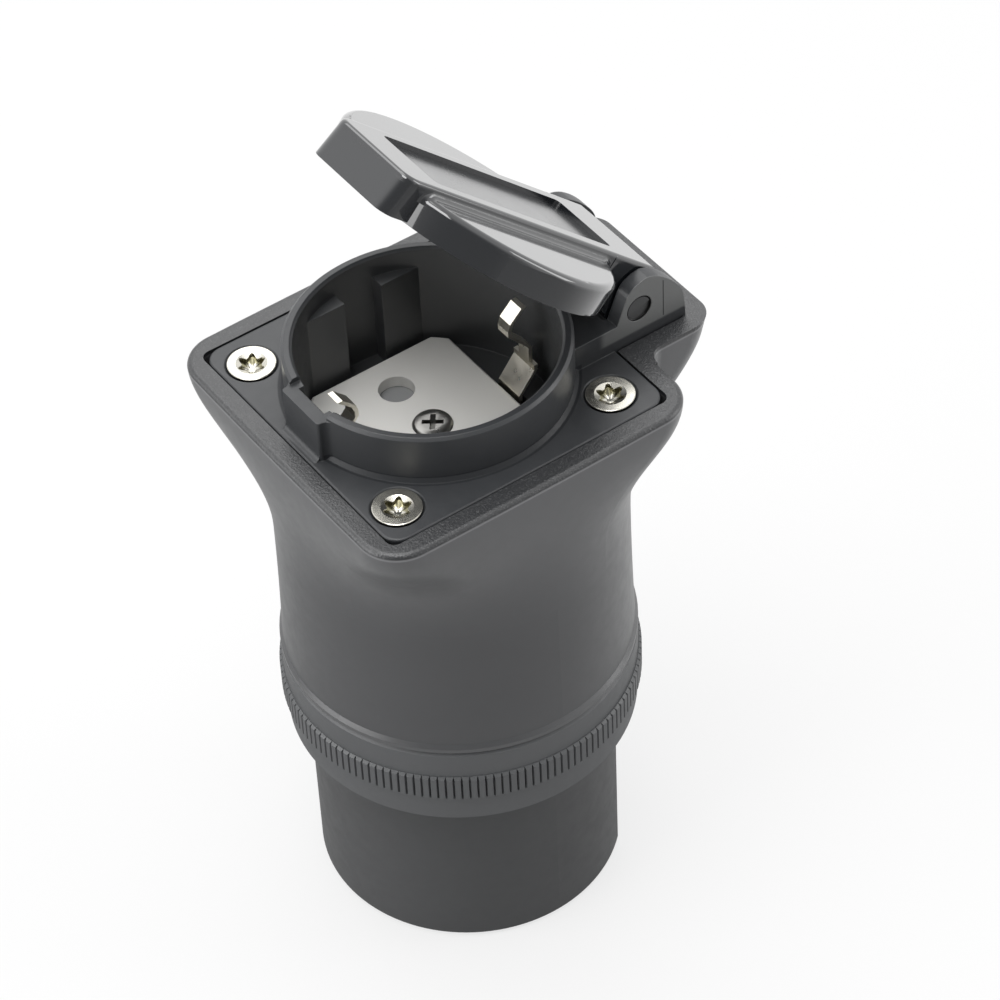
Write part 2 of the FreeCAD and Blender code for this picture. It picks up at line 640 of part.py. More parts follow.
def make_socket_plate():
    body = new_body("socket_plate", D.socket_back, plate_top)
    corner = D.plate_corner
    sketch = new_sketch(body, "flange_outline", "XY", [rounded(
        -D.plate_half, D.plate_half, -D.plate_front, D.plate_rear, corner)])
    pad(body, "flange", sketch, D.plate_thickness, down=True)
    soften(body, "Fillet", "flange_edge", D.plate_edge_round, lambda e: flat_at(e, 0))
    sketch = new_sketch(body, "hinge_foot_outline", "XY", [rounded(
        -D.ear_outer, D.ear_outer, D.collar_radius - 5, D.hinge_foot, D.hinge_corner)])
    pad(body, "hinge_foot", sketch, D.plate_thickness, down=True)
    sketch = new_sketch(body, "boss_outline", "XY", [boss_outline()])
    pad(body, "front_boss", sketch, D.boss_top)
    foot = D.boss_reach + D.boss_foot_round
    sketch = new_sketch(body, "boss_foot_outline", "YZ", [[
        (-foot, 0, D.boss_foot_round, 1), (-D.boss_reach, D.boss_foot_round),
        (-D.boss_reach + 1, D.boss_foot_round), (-D.boss_reach + 1, -1), (-foot, -1)]])
    pad(body, "boss_foot", sketch, D.boss_half * 2 - D.boss_corner, both=True)
    sketch = new_sketch(body, "ear_outline", "YZ", [ear_outline()])
    pad(body, "hinge_ears", sketch, D.ear_outer * 2, both=True)
    sketch = new_sketch(body, "hinge_step_outline", "YZ", [rectangle(
        D.step_front, D.pin_back - D.ear_front / 2, as_size(-1), D.step_top)])
    pad(body, "hinge_step", sketch, D.ear_outer * 2, both=True)
    inner = D.ear_outer - D.ear_thickness
    step_back = D.pin_back - D.knuckle_radius - D.lid_gap
    sketch = new_sketch(body, "hinge_slot_outline", "YZ", [rectangle(
        step_back, D.ear_rear + 2, as_size(0), D.ear_top + 2)])
    pocket(body, "hinge_slot", sketch, inner * 2, both=True)
    lip = D.collar_round
    revolve(body, "collar_and_cup", [
        (0, floor_base), (D.collar_radius, floor_base), (D.collar_radius, 0),
        (D.collar_radius + 0.5, 0), (D.collar_radius, 0.7),
        (D.collar_radius, D.collar_height - lip), (D.collar_radius - lip, D.collar_height),
        (0, D.collar_height)])
    groove(body, "recess", [
        (0, floor_top), (D.recess_radius, floor_top),
        (D.recess_radius, D.collar_height - lip), (D.recess_radius + lip, D.collar_height),
        (D.recess_radius + lip, D.collar_height + 1), (0, D.collar_height + 1)])
    sketch = new_sketch(body, "collar_notch_outline", "XY", [rectangle(
        -D.boss_half, D.boss_half, -D.boss_reach, -D.recess_radius + 1.5)],
        offset=D.collar_height + 1)
    pocket(body, "collar_notch", sketch, D.collar_height + 1 - D.boss_top)
    near_y, far_y, face = D.wall_block_near, D.wall_block_far, D.wall_block_face
    shell = D.collar_radius - 0.6
    near_x = root(shell * shell - near_y * near_y)
    far_x = root(shell * shell - far_y * far_y)
    blocks = []
    for side in (-1, 1):
        for end in (-1, 1):
            loop = [(face * side, near_y * end), (near_x * side, near_y * end),
                    (far_x * side, far_y * end), (face * side, far_y * end)]
            blocks.append(loop)
    sketch = new_sketch(body, "wall_block_outline", "XY", blocks, offset=floor_top - 0.5)
    pad(body, "wall_blocks", sketch, D.wall_block_top - floor_top + 0.5)
    key = D.recess_radius + D.key_depth
    sketch = new_sketch(body, "key_outline", "XY", [rectangle(
        -D.key_half, D.key_half, -key, -D.recess_radius + 2)], offset=floor_top)
    pocket(body, "key_flat", sketch, D.collar_height - floor_top + 1, up=True)
    shutter_room(body)
    holes(body)


def shutter_room(body):
    deep = D.shutter_thickness + 2 * D.slip_gap
    side = D.shutter_half + 0.2
    low = -D.shutter_travel - D.shutter_window_radius - 1.4 - 0.3
    high = D.shutter_edge + D.shutter_travel + 0.3
    sketch = new_sketch(body, "shutter_room_outline", "XY", [
        rectangle(-side, side, low, high)], offset=floor_top)
    pocket(body, "shutter_room", sketch, deep)
    sketch = new_sketch(body, "spring_room_outline", "XY", [rectangle(
        -D.spring_wave - 0.2, D.spring_wave + 0.2, high - 1, D.spring_seat)], offset=floor_top)
    pocket(body, "spring_room", sketch, deep)
    slot_low = D.strap_foot - D.strap_sheet - 0.45
    slot_high = D.strap_foot + D.strap_sheet + 0.45
    side = D.strap_half + 0.3
    slots = [rectangle(-side, side, slot_low, slot_high),
             rectangle(-side, side, -slot_high, -slot_low)]
    circles = [(pin_half, as_size(0), D.pin_hole_radius + 0.2),
               (-pin_half, as_size(0), D.pin_hole_radius + 0.2),
               (as_size(0), as_size(0), D.tile_screw_radius + D.slip_gap)]
    sketch = new_sketch(body, "floor_openings_outline", "XY", slots, circles, offset=floor_top)
    pocket(body, "floor_openings", sketch, D.floor_thickness + 1)


def holes(body):
    reach = D.flange_pitch / 2
    spots = [(reach * a, reach * b, D.screw_radius + 0.2) for a in (-1, 1) for b in (-1, 1)]
    sketch = new_sketch(body, "flange_hole_centres", "XY", circles=spots)
    before = body.Shape.Volume
    hole = body.newObject("PartDesign::Hole", "flange_holes")
    hole.Profile = sketch
    doc.recompute()
    hole.Threaded = False
    hole.DepthType = "ThroughAll"
    bind(hole, "Diameter", (D.screw_radius + 0.2) * 2)
    hole.HoleCutType = "Countersink"
    hole.HoleCutCustomValues = True
    bind(hole, "HoleCutDiameter", (D.screw_head_radius + D.plate_gap + D.pin_gap) * 2)
    hole.HoleCutCountersinkAngle = 90
    finish(body, hole, True, before)
    bore = D.pin_radius + D.pin_gap
    sketch = new_sketch(body, "pin_bore_outline", "YZ",
                        circles=[(D.pin_back, D.pin_rise, bore)])
    pocket(body, "pin_bore", sketch, D.ear_outer * 2 + 2, both=True)
    mouth = (D.pin_back, D.pin_rise, D.pin_mouth_radius)
    for side, name in ((1, "pin_mouth_right"), (-1, "pin_mouth_left")):
        sketch = new_sketch(body, name + "_outline", "YZ", circles=[mouth],
                            offset=D.ear_outer * side)
        pocket(body, name, sketch, D.pin_mouth_depth, up=(side < 0))


def make_flange_screws():
    body = new_body("flange_screws", D.socket_back, plate_top)
    head = D.screw_head_radius
    neck = D.screw_head_depth
    edge = head - D.screw_radius
    profile = [
        (0, -D.screw_length), (D.screw_radius - 0.4, -D.screw_length),
        (D.screw_radius, -D.screw_length + 0.6), (D.screw_radius, -edge - 0.2),
        (head, -0.2), (head, -0.05), (head - 1.1, -0.05), (head - 1.7, -0.45),
        (1.55, -0.45), (1.55, -neck + 0.3), (0, -neck + 0.3)]
    reach = D.flange_pitch / 2
    sketch = new_sketch(body, "screw_profile", "XZ", [profile], offset=reach, across=reach)
    feature = body.newObject("PartDesign::Revolution", "screw")
    feature.Profile = sketch
    feature.ReferenceAxis = (sketch, ["V_Axis"])
    feature.Angle = 360
    finish(body, feature)
    ring_of(body, "screws", feature, 4)


def place_in_lid(body):
    """The lid's own frame: disc centre, at pin height, turned open about the pin."""
    back = D.socket_back + D.pin_back - D.pin_back * cosine(D.lid_open)
    rise = plate_top + D.pin_rise + D.pin_back * sine(D.lid_open)
    body.Placement = FreeCAD.Placement(
        FreeCAD.Vector(0, back.value, rise.value),
        FreeCAD.Rotation(FreeCAD.Vector(-1, 0, 0), SIZES["lid_open"]))
    bind(body, "Placement.Base.y", back)
    bind(body, "Placement.Base.z", rise)
    bind(body, "Placement.Rotation.Angle", D.lid_open)


def make_lid():
    body = new_body("lid")
    place_in_lid(body)
    hinge = D.pin_back
    radius = D.lid_radius
    inner = radius - D.lid_skirt_wall
    drop = D.lid_skirt_drop
    revolve(body, "disc", [
        (0, D.lid_under), (inner, D.lid_under), (inner, -drop), (radius, -drop),
        (radius, D.lid_top), (0, D.lid_top)])
    soften(body, "Fillet", "disc_edge", D.lid_edge_round, lambda e: flat_at(e, D.lid_top))
    rear = hinge + D.band_rear
    front = D.tab_reach - hinge
    sketch = new_sketch(body, "band_outline", "XY", [[
        (-D.band_half_front, -front + 2), (D.band_half_front, -front + 2),
        (D.band_half_rear, rear), (-D.band_half_rear, rear)]], offset=D.lid_under)
    pad(body, "band", sketch, D.band_top - D.lid_under)
    lean = D.tab_lean
    sketch = new_sketch(body, "tab_outline", "YZ", [[
        (-front - lean, -D.tab_low), (-front + 6, -D.tab_low), (-front + 6, D.band_top),
        (-front, D.band_top)]])
    pad(body, "tab", sketch, D.band_half_front * 2, both=True)
    upright = 2.0
    soften(body, "Fillet", "tab_corners", D.tab_round, lambda e: (
        box_of(e).ZLength > upright and box_of(e).YMax < -SIZES["lid_radius"]
        and abs(box_of(e).Center.x) > SIZES["band_half_front"] - 0.2
        and box_of(e).YMin < -front.value - 0.5))
    arm_front = D.collar_radius + 0.5
    knuckle = D.knuckle_radius
    sketch = new_sketch(body, "arm_outline", "YZ", [[
        (arm_front, 0.6), (hinge, 0.6), (rear, 1.0), (rear, D.band_top),
        (arm_front, D.band_top)]])
    pad(body, "arm", sketch, D.band_half_rear * 2, both=True)
    sketch = new_sketch(body, "knuckle_outline", "YZ", circles=[(hinge, as_size(0), knuckle)])
    pad(body, "knuckle", sketch, D.band_half_rear * 2, both=True)
    bore = D.pin_radius + D.pin_gap
    sketch = new_sketch(body, "lid_bore_outline", "YZ", circles=[(hinge, as_size(0), bore)])
    pocket(body, "lid_bore", sketch, D.band_half_rear * 2 + 1, both=True)
    inside = D.band_half_front - D.tab_wall
    sketch = new_sketch(body, "tab_hollow_outline", "XY", [rectangle(
        -inside, inside, -front + D.tab_wall - 0.4, -D.collar_radius + 3)], offset=-D.tab_low - 2)
    pocket(body, "tab_hollow", sketch, D.lid_under + D.tab_low + 2, up=True)
    groove(body, "collar_room", [
        (0, -drop - 1), (inner, -drop - 1), (inner, D.lid_under), (0, D.lid_under)])
    finish_lid(body, hinge, front, rear)


def finish_lid(body, hinge, front, rear):
    half = SIZES["band_half_front"]
    top = D.band_top

    def top_edge(edge):
        return flat_at(edge, top)

    soften(body, "Fillet", "band_edges", D.band_edge_round, top_edge)

    def cove_edge(edge):
        box = box_of(edge)
        return (near(box.ZMin, D.lid_top) and near(box.ZMax, D.lid_top)
                and half - 0.1 < abs(box.Center.x) < SIZES["band_half_rear"] + 0.1
                and box.YLength > SIZES["lid_radius"] / 2)

    soften(body, "Fillet", "cove", D.lid_cove, cove_edge)
    sketch = new_sketch(body, "label_outline", "XY", [rounded(
        -D.label_half, D.label_half, hinge - D.label_to, hinge - D.label_from,
        D.label_round)], offset=top)
    pocket(body, "label_recess", sketch, D.label_depth)
    groove(body, "seal_groove", [
        (D.lid_seal_inner - D.pin_gap, D.lid_under - 0.5),
        (D.lid_seal_outer + D.pin_gap, D.lid_under - 0.5),
        (D.lid_seal_outer + D.pin_gap, D.lid_under + D.lid_groove_depth),
        (D.lid_seal_inner - D.pin_gap, D.lid_under + D.lid_groove_depth)])


def make_lid_seal():
    body = new_body("lid_seal")
    place_in_lid(body)
    top = D.lid_under + D.lid_groove_depth
    revolve(body, "seal", [
        (D.lid_seal_inner, top - D.lid_seal_height), (D.lid_seal_outer, top - D.lid_seal_height),
        (D.lid_seal_outer, top), (D.lid_seal_inner, top)])


def make_hinge_pin():
    body = new_body("hinge_pin", D.socket_back, plate_top)
    sketch = new_sketch(body, "pin_outline", "YZ",
                        circles=[(D.pin_back, D.pin_rise, D.pin_radius)])
    pad(body, "pin", sketch, D.ear_outer * 2 - 0.2, both=True)
    drive = D.pin_radius + 1
    sketch = new_sketch(body, "pin_step_outline", "YZ", [[
        (D.pin_back - drive, D.pin_rise - drive), (D.pin_back + drive, D.pin_rise - drive),
        (D.pin_back + drive, D.pin_rise + 0.9), (D.pin_back - drive, D.pin_rise - 0.9)]],
        offset=D.ear_outer)
    pocket(body, "pin_step", sketch, D.pin_step_depth)


def make_contact_cover():
    body = new_body("contact_cover", D.socket_back, plate_top)
    circles = [(pin_half, as_size(0), D.pin_hole_radius), (-pin_half, as_size(0), D.pin_hole_radius),
               (as_size(0), as_size(0), D.tile_screw_radius + D.slip_gap)]
    sketch = new_sketch(body, "tile_outline", "XY", [chamfered(
        D.tile_half_wide, D.tile_half_deep, D.tile_chamfer)], circles, offset=floor_top)
    pad(body, "tile", sketch, D.tile_thickness)
    sketch = new_sketch(body, "screw_seat_outline", "XY", circles=[
        (as_size(0), as_size(0), D.tile_screw_head + D.slip_gap)], offset=tile_top)
    pocket(body, "screw_seat", sketch, D.tile_seat_depth)
    outer = SIZES["tile_half_deep"] - 2.5
    soften(body, "Chamfer", "tile_edge", 0.3, lambda e: flat_at(e, tile_top) and (
        abs(box_of(e).Center.y) > outer or abs(box_of(e).Center.x) > outer + 2))


def make_cover_screw():
    body = new_body("cover_screw", D.socket_back, plate_top)
    seat = tile_top - D.tile_seat_depth
    head = seat + D.tile_screw_head_height
    low = seat - D.tile_screw_length
    revolve(body, "screw", [
        (0, low), (D.tile_screw_radius - 0.4, low), (D.tile_screw_radius, low + 0.6),
        (D.tile_screw_radius, seat), (D.tile_screw_head, seat),
        (D.tile_screw_head, head - 0.25), (D.tile_screw_head - 0.25, head), (0, head)])
    arm = 1.75
    cross = as_size(0.35)
    long = as_size(arm)
    outline = [(-cross, -long), (cross, -long), (cross, -cross), (long, -cross), (long, cross),
               (cross, cross), (cross, long), (-cross, long), (-cross, cross), (-long, cross),
               (-long, -cross), (-cross, -cross)]
    sketch = new_sketch(body, "drive_outline", "XY", [outline], offset=head)
    pocket(body, "drive", sketch, D.tile_screw_head_height * 0.8)


def make_shutter():
    base = floor_top - D.shutter_thickness - D.slip_gap
    body = new_body("shutter", D.socket_back, plate_top)
    slide = D.shutter_travel
    low = -slide - D.shutter_window_radius - 1.4
    sketch = new_sketch(body, "shutter_outline", "XY", [rounded(
        -D.shutter_half, D.shutter_half, low, D.shutter_edge, as_size(1.0))], circles=[
        (pin_half, -slide, D.shutter_window_radius), (-pin_half, -slide, D.shutter_window_radius)],
        offset=base)
    pad(body, "plate", sketch, D.shutter_thickness)
    slot = D.tile_screw_radius + 0.3
    sketch = new_sketch(body, "screw_slot_outline", "XY", [rounded(
        -slot, slot, -slide - slot, slot, slot - 0.1)], offset=base)
    pocket(body, "screw_slot", sketch, D.shutter_thickness, up=True)


def make_shutter_spring():
    """Flat wave spring between the shutter's back edge and the end of its room."""
    body = new_body("shutter_spring", D.socket_back, plate_top)
    start = D.shutter_edge + 0.05
    span = D.spring_seat - 0.1 - start
    turns = 5
    step = span / turns
    half = D.spring_wave - D.spring_thickness
    leg = root(step * step + 4 * half * half)
    shift = D.spring_thickness * leg / (2 * step)
    lower = []
    upper = []
    for n in range(turns + 1):
        side = -1 if n % 2 else 1
        lower.append((half * side + shift, start + step * n))
        upper.append((half * side - shift, start + step * n))
    sketch = new_sketch(body, "wave_outline", "XY", [lower + upper[::-1]],
                        offset=floor_top - D.slip_gap - D.spring_width)
    pad(body, "wave", sketch, D.spring_width)


base_top = floor_base
base_floor = base_top - D.base_depth


def make_socket_base():
    body = new_body("socket_base", D.socket_back, plate_top)
    circles = [(as_size(0), as_size(0), D.tile_screw_radius + D.pin_gap)]
    room_x = D.clip_half + 0.3
    room_y = D.clip_jaw_gap + D.clip_sheet + 0.45
    rooms = []
    for side in (-1, 1):
        rooms.append(rectangle(pin_half * side - room_x, pin_half * side + room_x, -room_y, room_y))
    sketch = new_sketch(body, "base_outline", "XY", [chamfered(
        D.base_half_wide, D.base_half_deep, D.base_chamfer)] + rooms, circles, offset=base_floor)
    pad(body, "base", sketch, D.base_depth)


def make_live_contacts():
    body = new_body("live_contacts", D.socket_back, plate_top)
    gap = D.clip_jaw_gap
    sheet_size = D.clip_sheet
    low = base_floor
    top = low + D.clip_height
    sketch = new_sketch(body, "jaw_outline", "YZ", [[
        (-gap - sheet_size, low), (gap + sheet_size, low), (gap + sheet_size, top - 2.0),
        (gap + sheet_size + 0.3, top), (gap + 0.3, top), (gap, top - 2.0),
        (gap, low + sheet_size), (-gap, low + sheet_size), (-gap, top - 2.0),
        (-gap - 0.3, top), (-gap - sheet_size - 0.3, top), (-gap - sheet_size, top - 2.0)]],
        offset=pin_half)
    pad(body, "jaws", sketch, D.clip_half * 2, both=True)
    half = D.terminal_half
    sketch = new_sketch(body, "terminal_outline", "XY", [rectangle(
        pin_half - half, pin_half + half, -half, half)], circles=[
        (pin_half, as_size(0), D.lead_radius + D.slip_gap)], offset=low)
    pad(body, "terminal", sketch, D.terminal_height, down=True)
    middle = low - D.terminal_height / 2
    bore = D.terminal_screw_radius + D.pin_gap
    sketch = new_sketch(body, "clamp_bore_outline", "YZ", circles=[(as_size(0), middle, bore)],
                        offset=pin_half + half)
    pocket(body, "clamp_bore", sketch, half)
    mirror_pair(body)


def mirror_pair(body):
    mirror = body.newObject("PartDesign::Mirrored", "left_copy")
    solids = [item for item in body.Group if item.TypeId in (
        "PartDesign::Pad", "PartDesign::Pocket")]
    mirror.Originals = solids
    mirror.MirrorPlane = (origin_item(body, "YZ_Plane"), [""])
    body.Tip = mirror
    return finish(body, mirror)


def make_earth_strap():
    body = new_body("earth_strap", D.socket_back, plate_top)
    thick = D.strap_sheet
    foot, leg, crest, tip = D.strap_foot, D.strap_leg, D.strap_crest, D.strap_tip
    top = D.strap_top
    under = base_floor - thick
    path = [
        (foot, floor_top + 1.3, 1), (leg, floor_top + 5.0, 1.2), (leg, top * -0.45, 1.1),
        (crest, top * 0.24, 1.1), (crest, top * 0.42, 1.1),
        (crest + (tip - crest) * 0.17, top * 0.64, 1.3), (tip, top, 1.45)]
    outer = [(foot + thick / 2, under)]
    outer += [(y + thick * share / 2, z) for y, z, share in path]
    inner = [(y - thick * share / 2, z) for y, z, share in reversed(path)]
    inner.append((foot - thick / 2, under + thick))
    mirrored_inner = [(-1 * y, z) for y, z in reversed(inner)]
    mirrored_outer = [(-1 * y, z) for y, z in reversed(outer)]
    sketch = new_sketch(body, "strap_outline", "YZ", [
        outer + inner + mirrored_inner + mirrored_outer])
    pad(body, "strap", sketch, D.strap_half * 2, both=True)
    side = D.strap_half + 1
    low = floor_top + 6
    high = top + 1
    sketch = new_sketch(body, "strap_trim_outline", "XZ", [
        rectangle(D.strap_tip_half, side, low, high),
        rectangle(-side, -D.strap_tip_half, low, high)])
    pocket(body, "strap_trim", sketch, D.recess_radius * 2, both=True)
    half = D.terminal_half - 0.4
    sketch = new_sketch(body, "earth_terminal_outline", "XY", [rectangle(
        -half, half, -half * 2 - 4, -4 + 0 * half)], circles=[
        (as_size(0), -half - 4, D.lead_radius + D.slip_gap)], offset=under)
    pad(body, "earth_terminal", sketch, D.terminal_height - thick, down=True)
    middle = base_floor - D.terminal_height / 2
    sketch = new_sketch(body, "earth_clamp_outline", "XZ", circles=[
        (as_size(0), middle, D.terminal_screw_radius + D.pin_gap)], offset=half * 2 + 4)
    pocket(body, "earth_clamp", sketch, half, up=False)


def make_terminal_screws():
    body = new_body("terminal_screws", D.socket_back, plate_top)
    middle = base_floor - D.terminal_height / 2
    reach = pin_half + D.terminal_half
    depth = D.terminal_half - D.lead_radius - D.slip_gap
    radius = D.terminal_screw_radius
    for side, name in ((1, "right"), (-1, "left")):
        sketch = new_sketch(body, name + "_outline", "YZ", circles=[(as_size(0), middle, radius)],
                            offset=(reach - depth) * side)
        pad(body, name + "_screw", sketch, D.terminal_screw_length, down=(side < 0))
    half = D.terminal_half - 0.4
    depth = half - D.lead_radius - D.slip_gap
    sketch = new_sketch(body, "earth_outline", "XZ", circles=[(as_size(0), middle, radius)],
                        offset=half * 2 + 4 - depth)
    pad(body, "earth_screw", sketch, D.terminal_screw_length)


def power_spots():
    return [(-D.power_pitch, as_size(0)), (as_size(0), as_size(0)), (D.power_pitch, as_size(0))]


def phase_spots():
    return [(-D.phase_offset, -D.phase_drop), (D.phase_offset, -D.phase_drop)]


def signal_spots():
    return [(-D.phase_offset, D.signal_rise), (D.phase_offset, D.signal_rise)]


def make_contact_carrier():
    body = new_body("contact_carrier")
    sketch = new_sketch(body, "core_outline", "XY", circles=[
        (as_size(0), as_size(0), neck_bore - D.slip_gap)], offset=ledge_top)
    pad(body, "core", sketch, D.carrier_depth)
    towers = [(x, y, D.power_tower_radius) for x, y in power_spots() + phase_spots()]
    towers += [(x, y, D.signal_tower_radius) for x, y in signal_spots()]
    sketch = new_sketch(body, "tower_outline", "XY", circles=towers)
    pad(body, "towers", sketch, ledge_top)
    mouths = [(x, y, D.power_mouth) for x, y in power_spots() + phase_spots()]
    mouths += [(x, y, D.signal_mouth) for x, y in signal_spots()]
    sketch = new_sketch(body, "mouth_outline", "XY", circles=mouths)
    pocket(body, "mouths", sketch, D.mouth_depth + 1, up=True)
    chambers = [(x, y, D.power_sleeve + D.pin_gap) for x, y in power_spots()]
    chambers += [(x, y, D.signal_sleeve + D.pin_gap) for x, y in signal_spots()]
    sketch = new_sketch(body, "chamber_outline", "XY", circles=chambers, offset=D.mouth_depth)
    pocket(body, "chambers", sketch, carrier_top, up=True)
    blind = [(x, y, D.power_mouth) for x, y in phase_spots()]
    sketch = new_sketch(body, "blind_outline", "XY", circles=blind, offset=D.mouth_depth)
    pocket(body, "blind_cavities", sketch, D.sleeve_depth, up=True)


def make_retaining_ring():
    body = new_body("retaining_ring")
    outer = neck_bore + D.clip_groove_depth - D.slip_gap
    revolve(body, "ring", [
        (outer - D.clip_width, carrier_top + D.pin_gap), (outer, carrier_top + D.pin_gap),
        (outer, carrier_top + D.clip_thickness), (outer - D.clip_width, carrier_top + D.clip_thickness)])
    sketch = new_sketch(body, "opening_outline", "XY", [rectangle(
        -D.clip_opening / 2, D.clip_opening / 2, -neck_bore - 5, -D.clip_opening)],
        offset=carrier_top - 1)
    pocket(body, "opening", sketch, D.clip_thickness + 3, up=True)


def make_power_contacts():
    body = new_body("power_contacts")
    low = D.mouth_depth + D.pin_gap
    bore_top = low + D.sleeve_depth
    tail = carrier_top + D.tail_length
    spots = power_spots()
    sketch = new_sketch(body, "sleeve_outline", "XY",
                        circles=[(x, y, D.power_sleeve) for x, y in spots], offset=low)
    pad(body, "sleeves", sketch, carrier_top - low)
    sketch = new_sketch(body, "tail_outline", "XY",
                        circles=[(x, y, D.tail_radius) for x, y in spots], offset=carrier_top - 1)
    pad(body, "tails", sketch, D.tail_length + 1)
    sketch = new_sketch(body, "bore_outline", "XY",
                        circles=[(x, y, D.power_bore) for x, y in spots], offset=low)
    pocket(body, "bores", sketch, bore_top - low, up=True)
    sketch = new_sketch(body, "crimp_outline", "XY", circles=[
        (x, y, D.lead_radius + D.pin_gap) for x, y in spots], offset=tail)
    pocket(body, "crimps", sketch, D.tail_length)


def make_signal_contacts():
    body = new_body("signal_contacts")
    low = D.mouth_depth + D.pin_gap
    spots = signal_spots()
    sketch = new_sketch(body, "sleeve_outline", "XY",
                        circles=[(x, y, D.signal_sleeve) for x, y in spots], offset=low)
    pad(body, "sleeves", sketch, carrier_top - low)
    sketch = new_sketch(body, "tail_outline", "XY", circles=[
        (x, y, D.signal_sleeve - 0.8) for x, y in spots], offset=carrier_top - 1)
    pad(body, "tails", sketch, D.tail_length - 1)
    sketch = new_sketch(body, "bore_outline", "XY",
                        circles=[(x, y, D.signal_bore) for x, y in spots], offset=low)
    pocket(body, "bores", sketch, D.sleeve_depth, up=True)


def tube_through(points, radius):
    """Round tube along straight runs joined by tangent arcs."""
    edges = []
    last = points[0]
    for n in range(1, len(points) - 1):
        before = (points[n - 1] - points[n])
        after = (points[n + 1] - points[n])
        turn = math.pi - before.getAngle(after)
        bend = 0.45 * min(before.Length, after.Length) / math.tan(turn / 2)
        reach = bend * math.tan(turn / 2)
        into = points[n] + before.normalize() * reach
        out = points[n] + after.normalize() * reach
        centre_line = (before + after).normalize()
        middle = points[n] + centre_line * (bend / math.cos(turn / 2) - bend)
        edges.append(Part.LineSegment(last, into).toShape())
        edges.append(Part.Arc(into, middle, out).toShape())
        last = out
    edges.append(Part.LineSegment(last, points[-1]).toShape())
    path = Part.Wire(edges)
    section = Part.Wire([Part.Circle(points[0], points[1] - points[0], radius).toShape()])
    return path.makePipeShell([section], True, False)


def make_lead(label, start_x, end_x, end_y):
    """One insulated lead from a crimp up into its terminal."""
    low = carrier_top.value + 1.0
    high = plate_top.value + base_floor.value - SIZES["terminal_height"] + 4.0
    rise = high - low
    points = [
        FreeCAD.Vector(start_x, 0, low), FreeCAD.Vector(start_x, 0, low + rise * 0.36),
        FreeCAD.Vector(end_x, end_y, low + rise * 0.70), FreeCAD.Vector(end_x, end_y, high)]
    lead = doc.addObject("Part::Feature", label)
    lead.Label = label
    lead.Shape = tube_through(points, SIZES["lead_radius"])
    lead.Placement = FreeCAD.Placement()
    PIECES[label] = lead


def make_leads():
    back = SIZES["socket_back"]
    half = SIZES["pin_pitch"] / 2
    power = SIZES["power_pitch"]
    earth = back - (SIZES["terminal_half"] - 0.4) - 4
    make_lead("line_lead", power, half, back)
    make_lead("neutral_lead", -power, -half, back)
    make_lead("earth_lead", 0.0, 0.0, earth)


def make_resistor():
    """Coding resistor from the proximity contact to the earth contact."""
    top = carrier_top.value + SIZES["tail_length"] - 1
    ground = FreeCAD.Vector(0, 0, top)
    signal = FreeCAD.Vector(SIZES["phase_offset"], SIZES["signal_rise"], top)
    along = (signal - ground).normalize()
    start = ground + along * (SIZES["tail_radius"] + 0.35)
    finish_at = signal
    middle = (start + finish_at) * 0.5
    up = FreeCAD.Vector(0, 0, 2.2)
    length = SIZES["resistor_length"]
    body = Part.makeCylinder(SIZES["resistor_radius"], length, middle + up - along * (length / 2), along)
    wire = 0.3
    shapes = []
    for end, drop in ((start, 3.0), (finish_at, 1.4)):
        away = 1 if end is finish_at else -1
        run = (end - middle).Length
        shapes.append(Part.makeCylinder(wire, run + wire, middle + up, along * away))
        shapes.append(Part.makeCylinder(wire, drop + 0.8, end + up, FreeCAD.Vector(0, 0, -1)))
    piece = doc.addObject("Part::Feature", "coding_resistor")
    piece.Label = "coding_resistor"
    piece.Shape = body.multiFuse(shapes)
    piece.Placement = FreeCAD.Placement()
    PIECES["coding_resistor"] = piece


def write_parts():
    doc.recompute()
    for item in doc.Objects:
        if "Invalid" in item.State or "Error" in item.State:
            raise RuntimeError(f"{item.Label} is in state {item.State}")
    os.makedirs("parts", exist_ok=True)
    for label, piece in PIECES.items():
        shape = piece.Shape
        if shape.isNull() or not shape.isValid() or not shape.Solids:
            raise RuntimeError(f"{label} has no valid solid")
        shape.exportStep(f"parts/{label}.step")
        print(label, len(shape.Solids), round(shape.Volume, 1))


make_plug_shell()
make_seal_ring()
make_grip_ring()
make_housing()
make_gasket()
make_socket_plate()
make_flange_screws()
make_lid()
make_lid_seal()
make_hinge_pin()
make_contact_cover()
make_cover_screw()
make_shutter()
make_shutter_spring()
make_socket_base()
make_live_contacts()
make_earth_strap()
make_terminal_screws()
make_contact_carrier()
make_retaining_ring()
make_power_contacts()
make_signal_contacts()
make_leads()
make_resistor()
write_parts()
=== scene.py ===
"""Discharge adapter in a white studio: finishes for every part and the small formed details.

Lengths are in metres and angles in degrees. Z is up, and the socket's recess faces up.
"""

import math

import bmesh
import bpy
from mathutils import Matrix, Vector


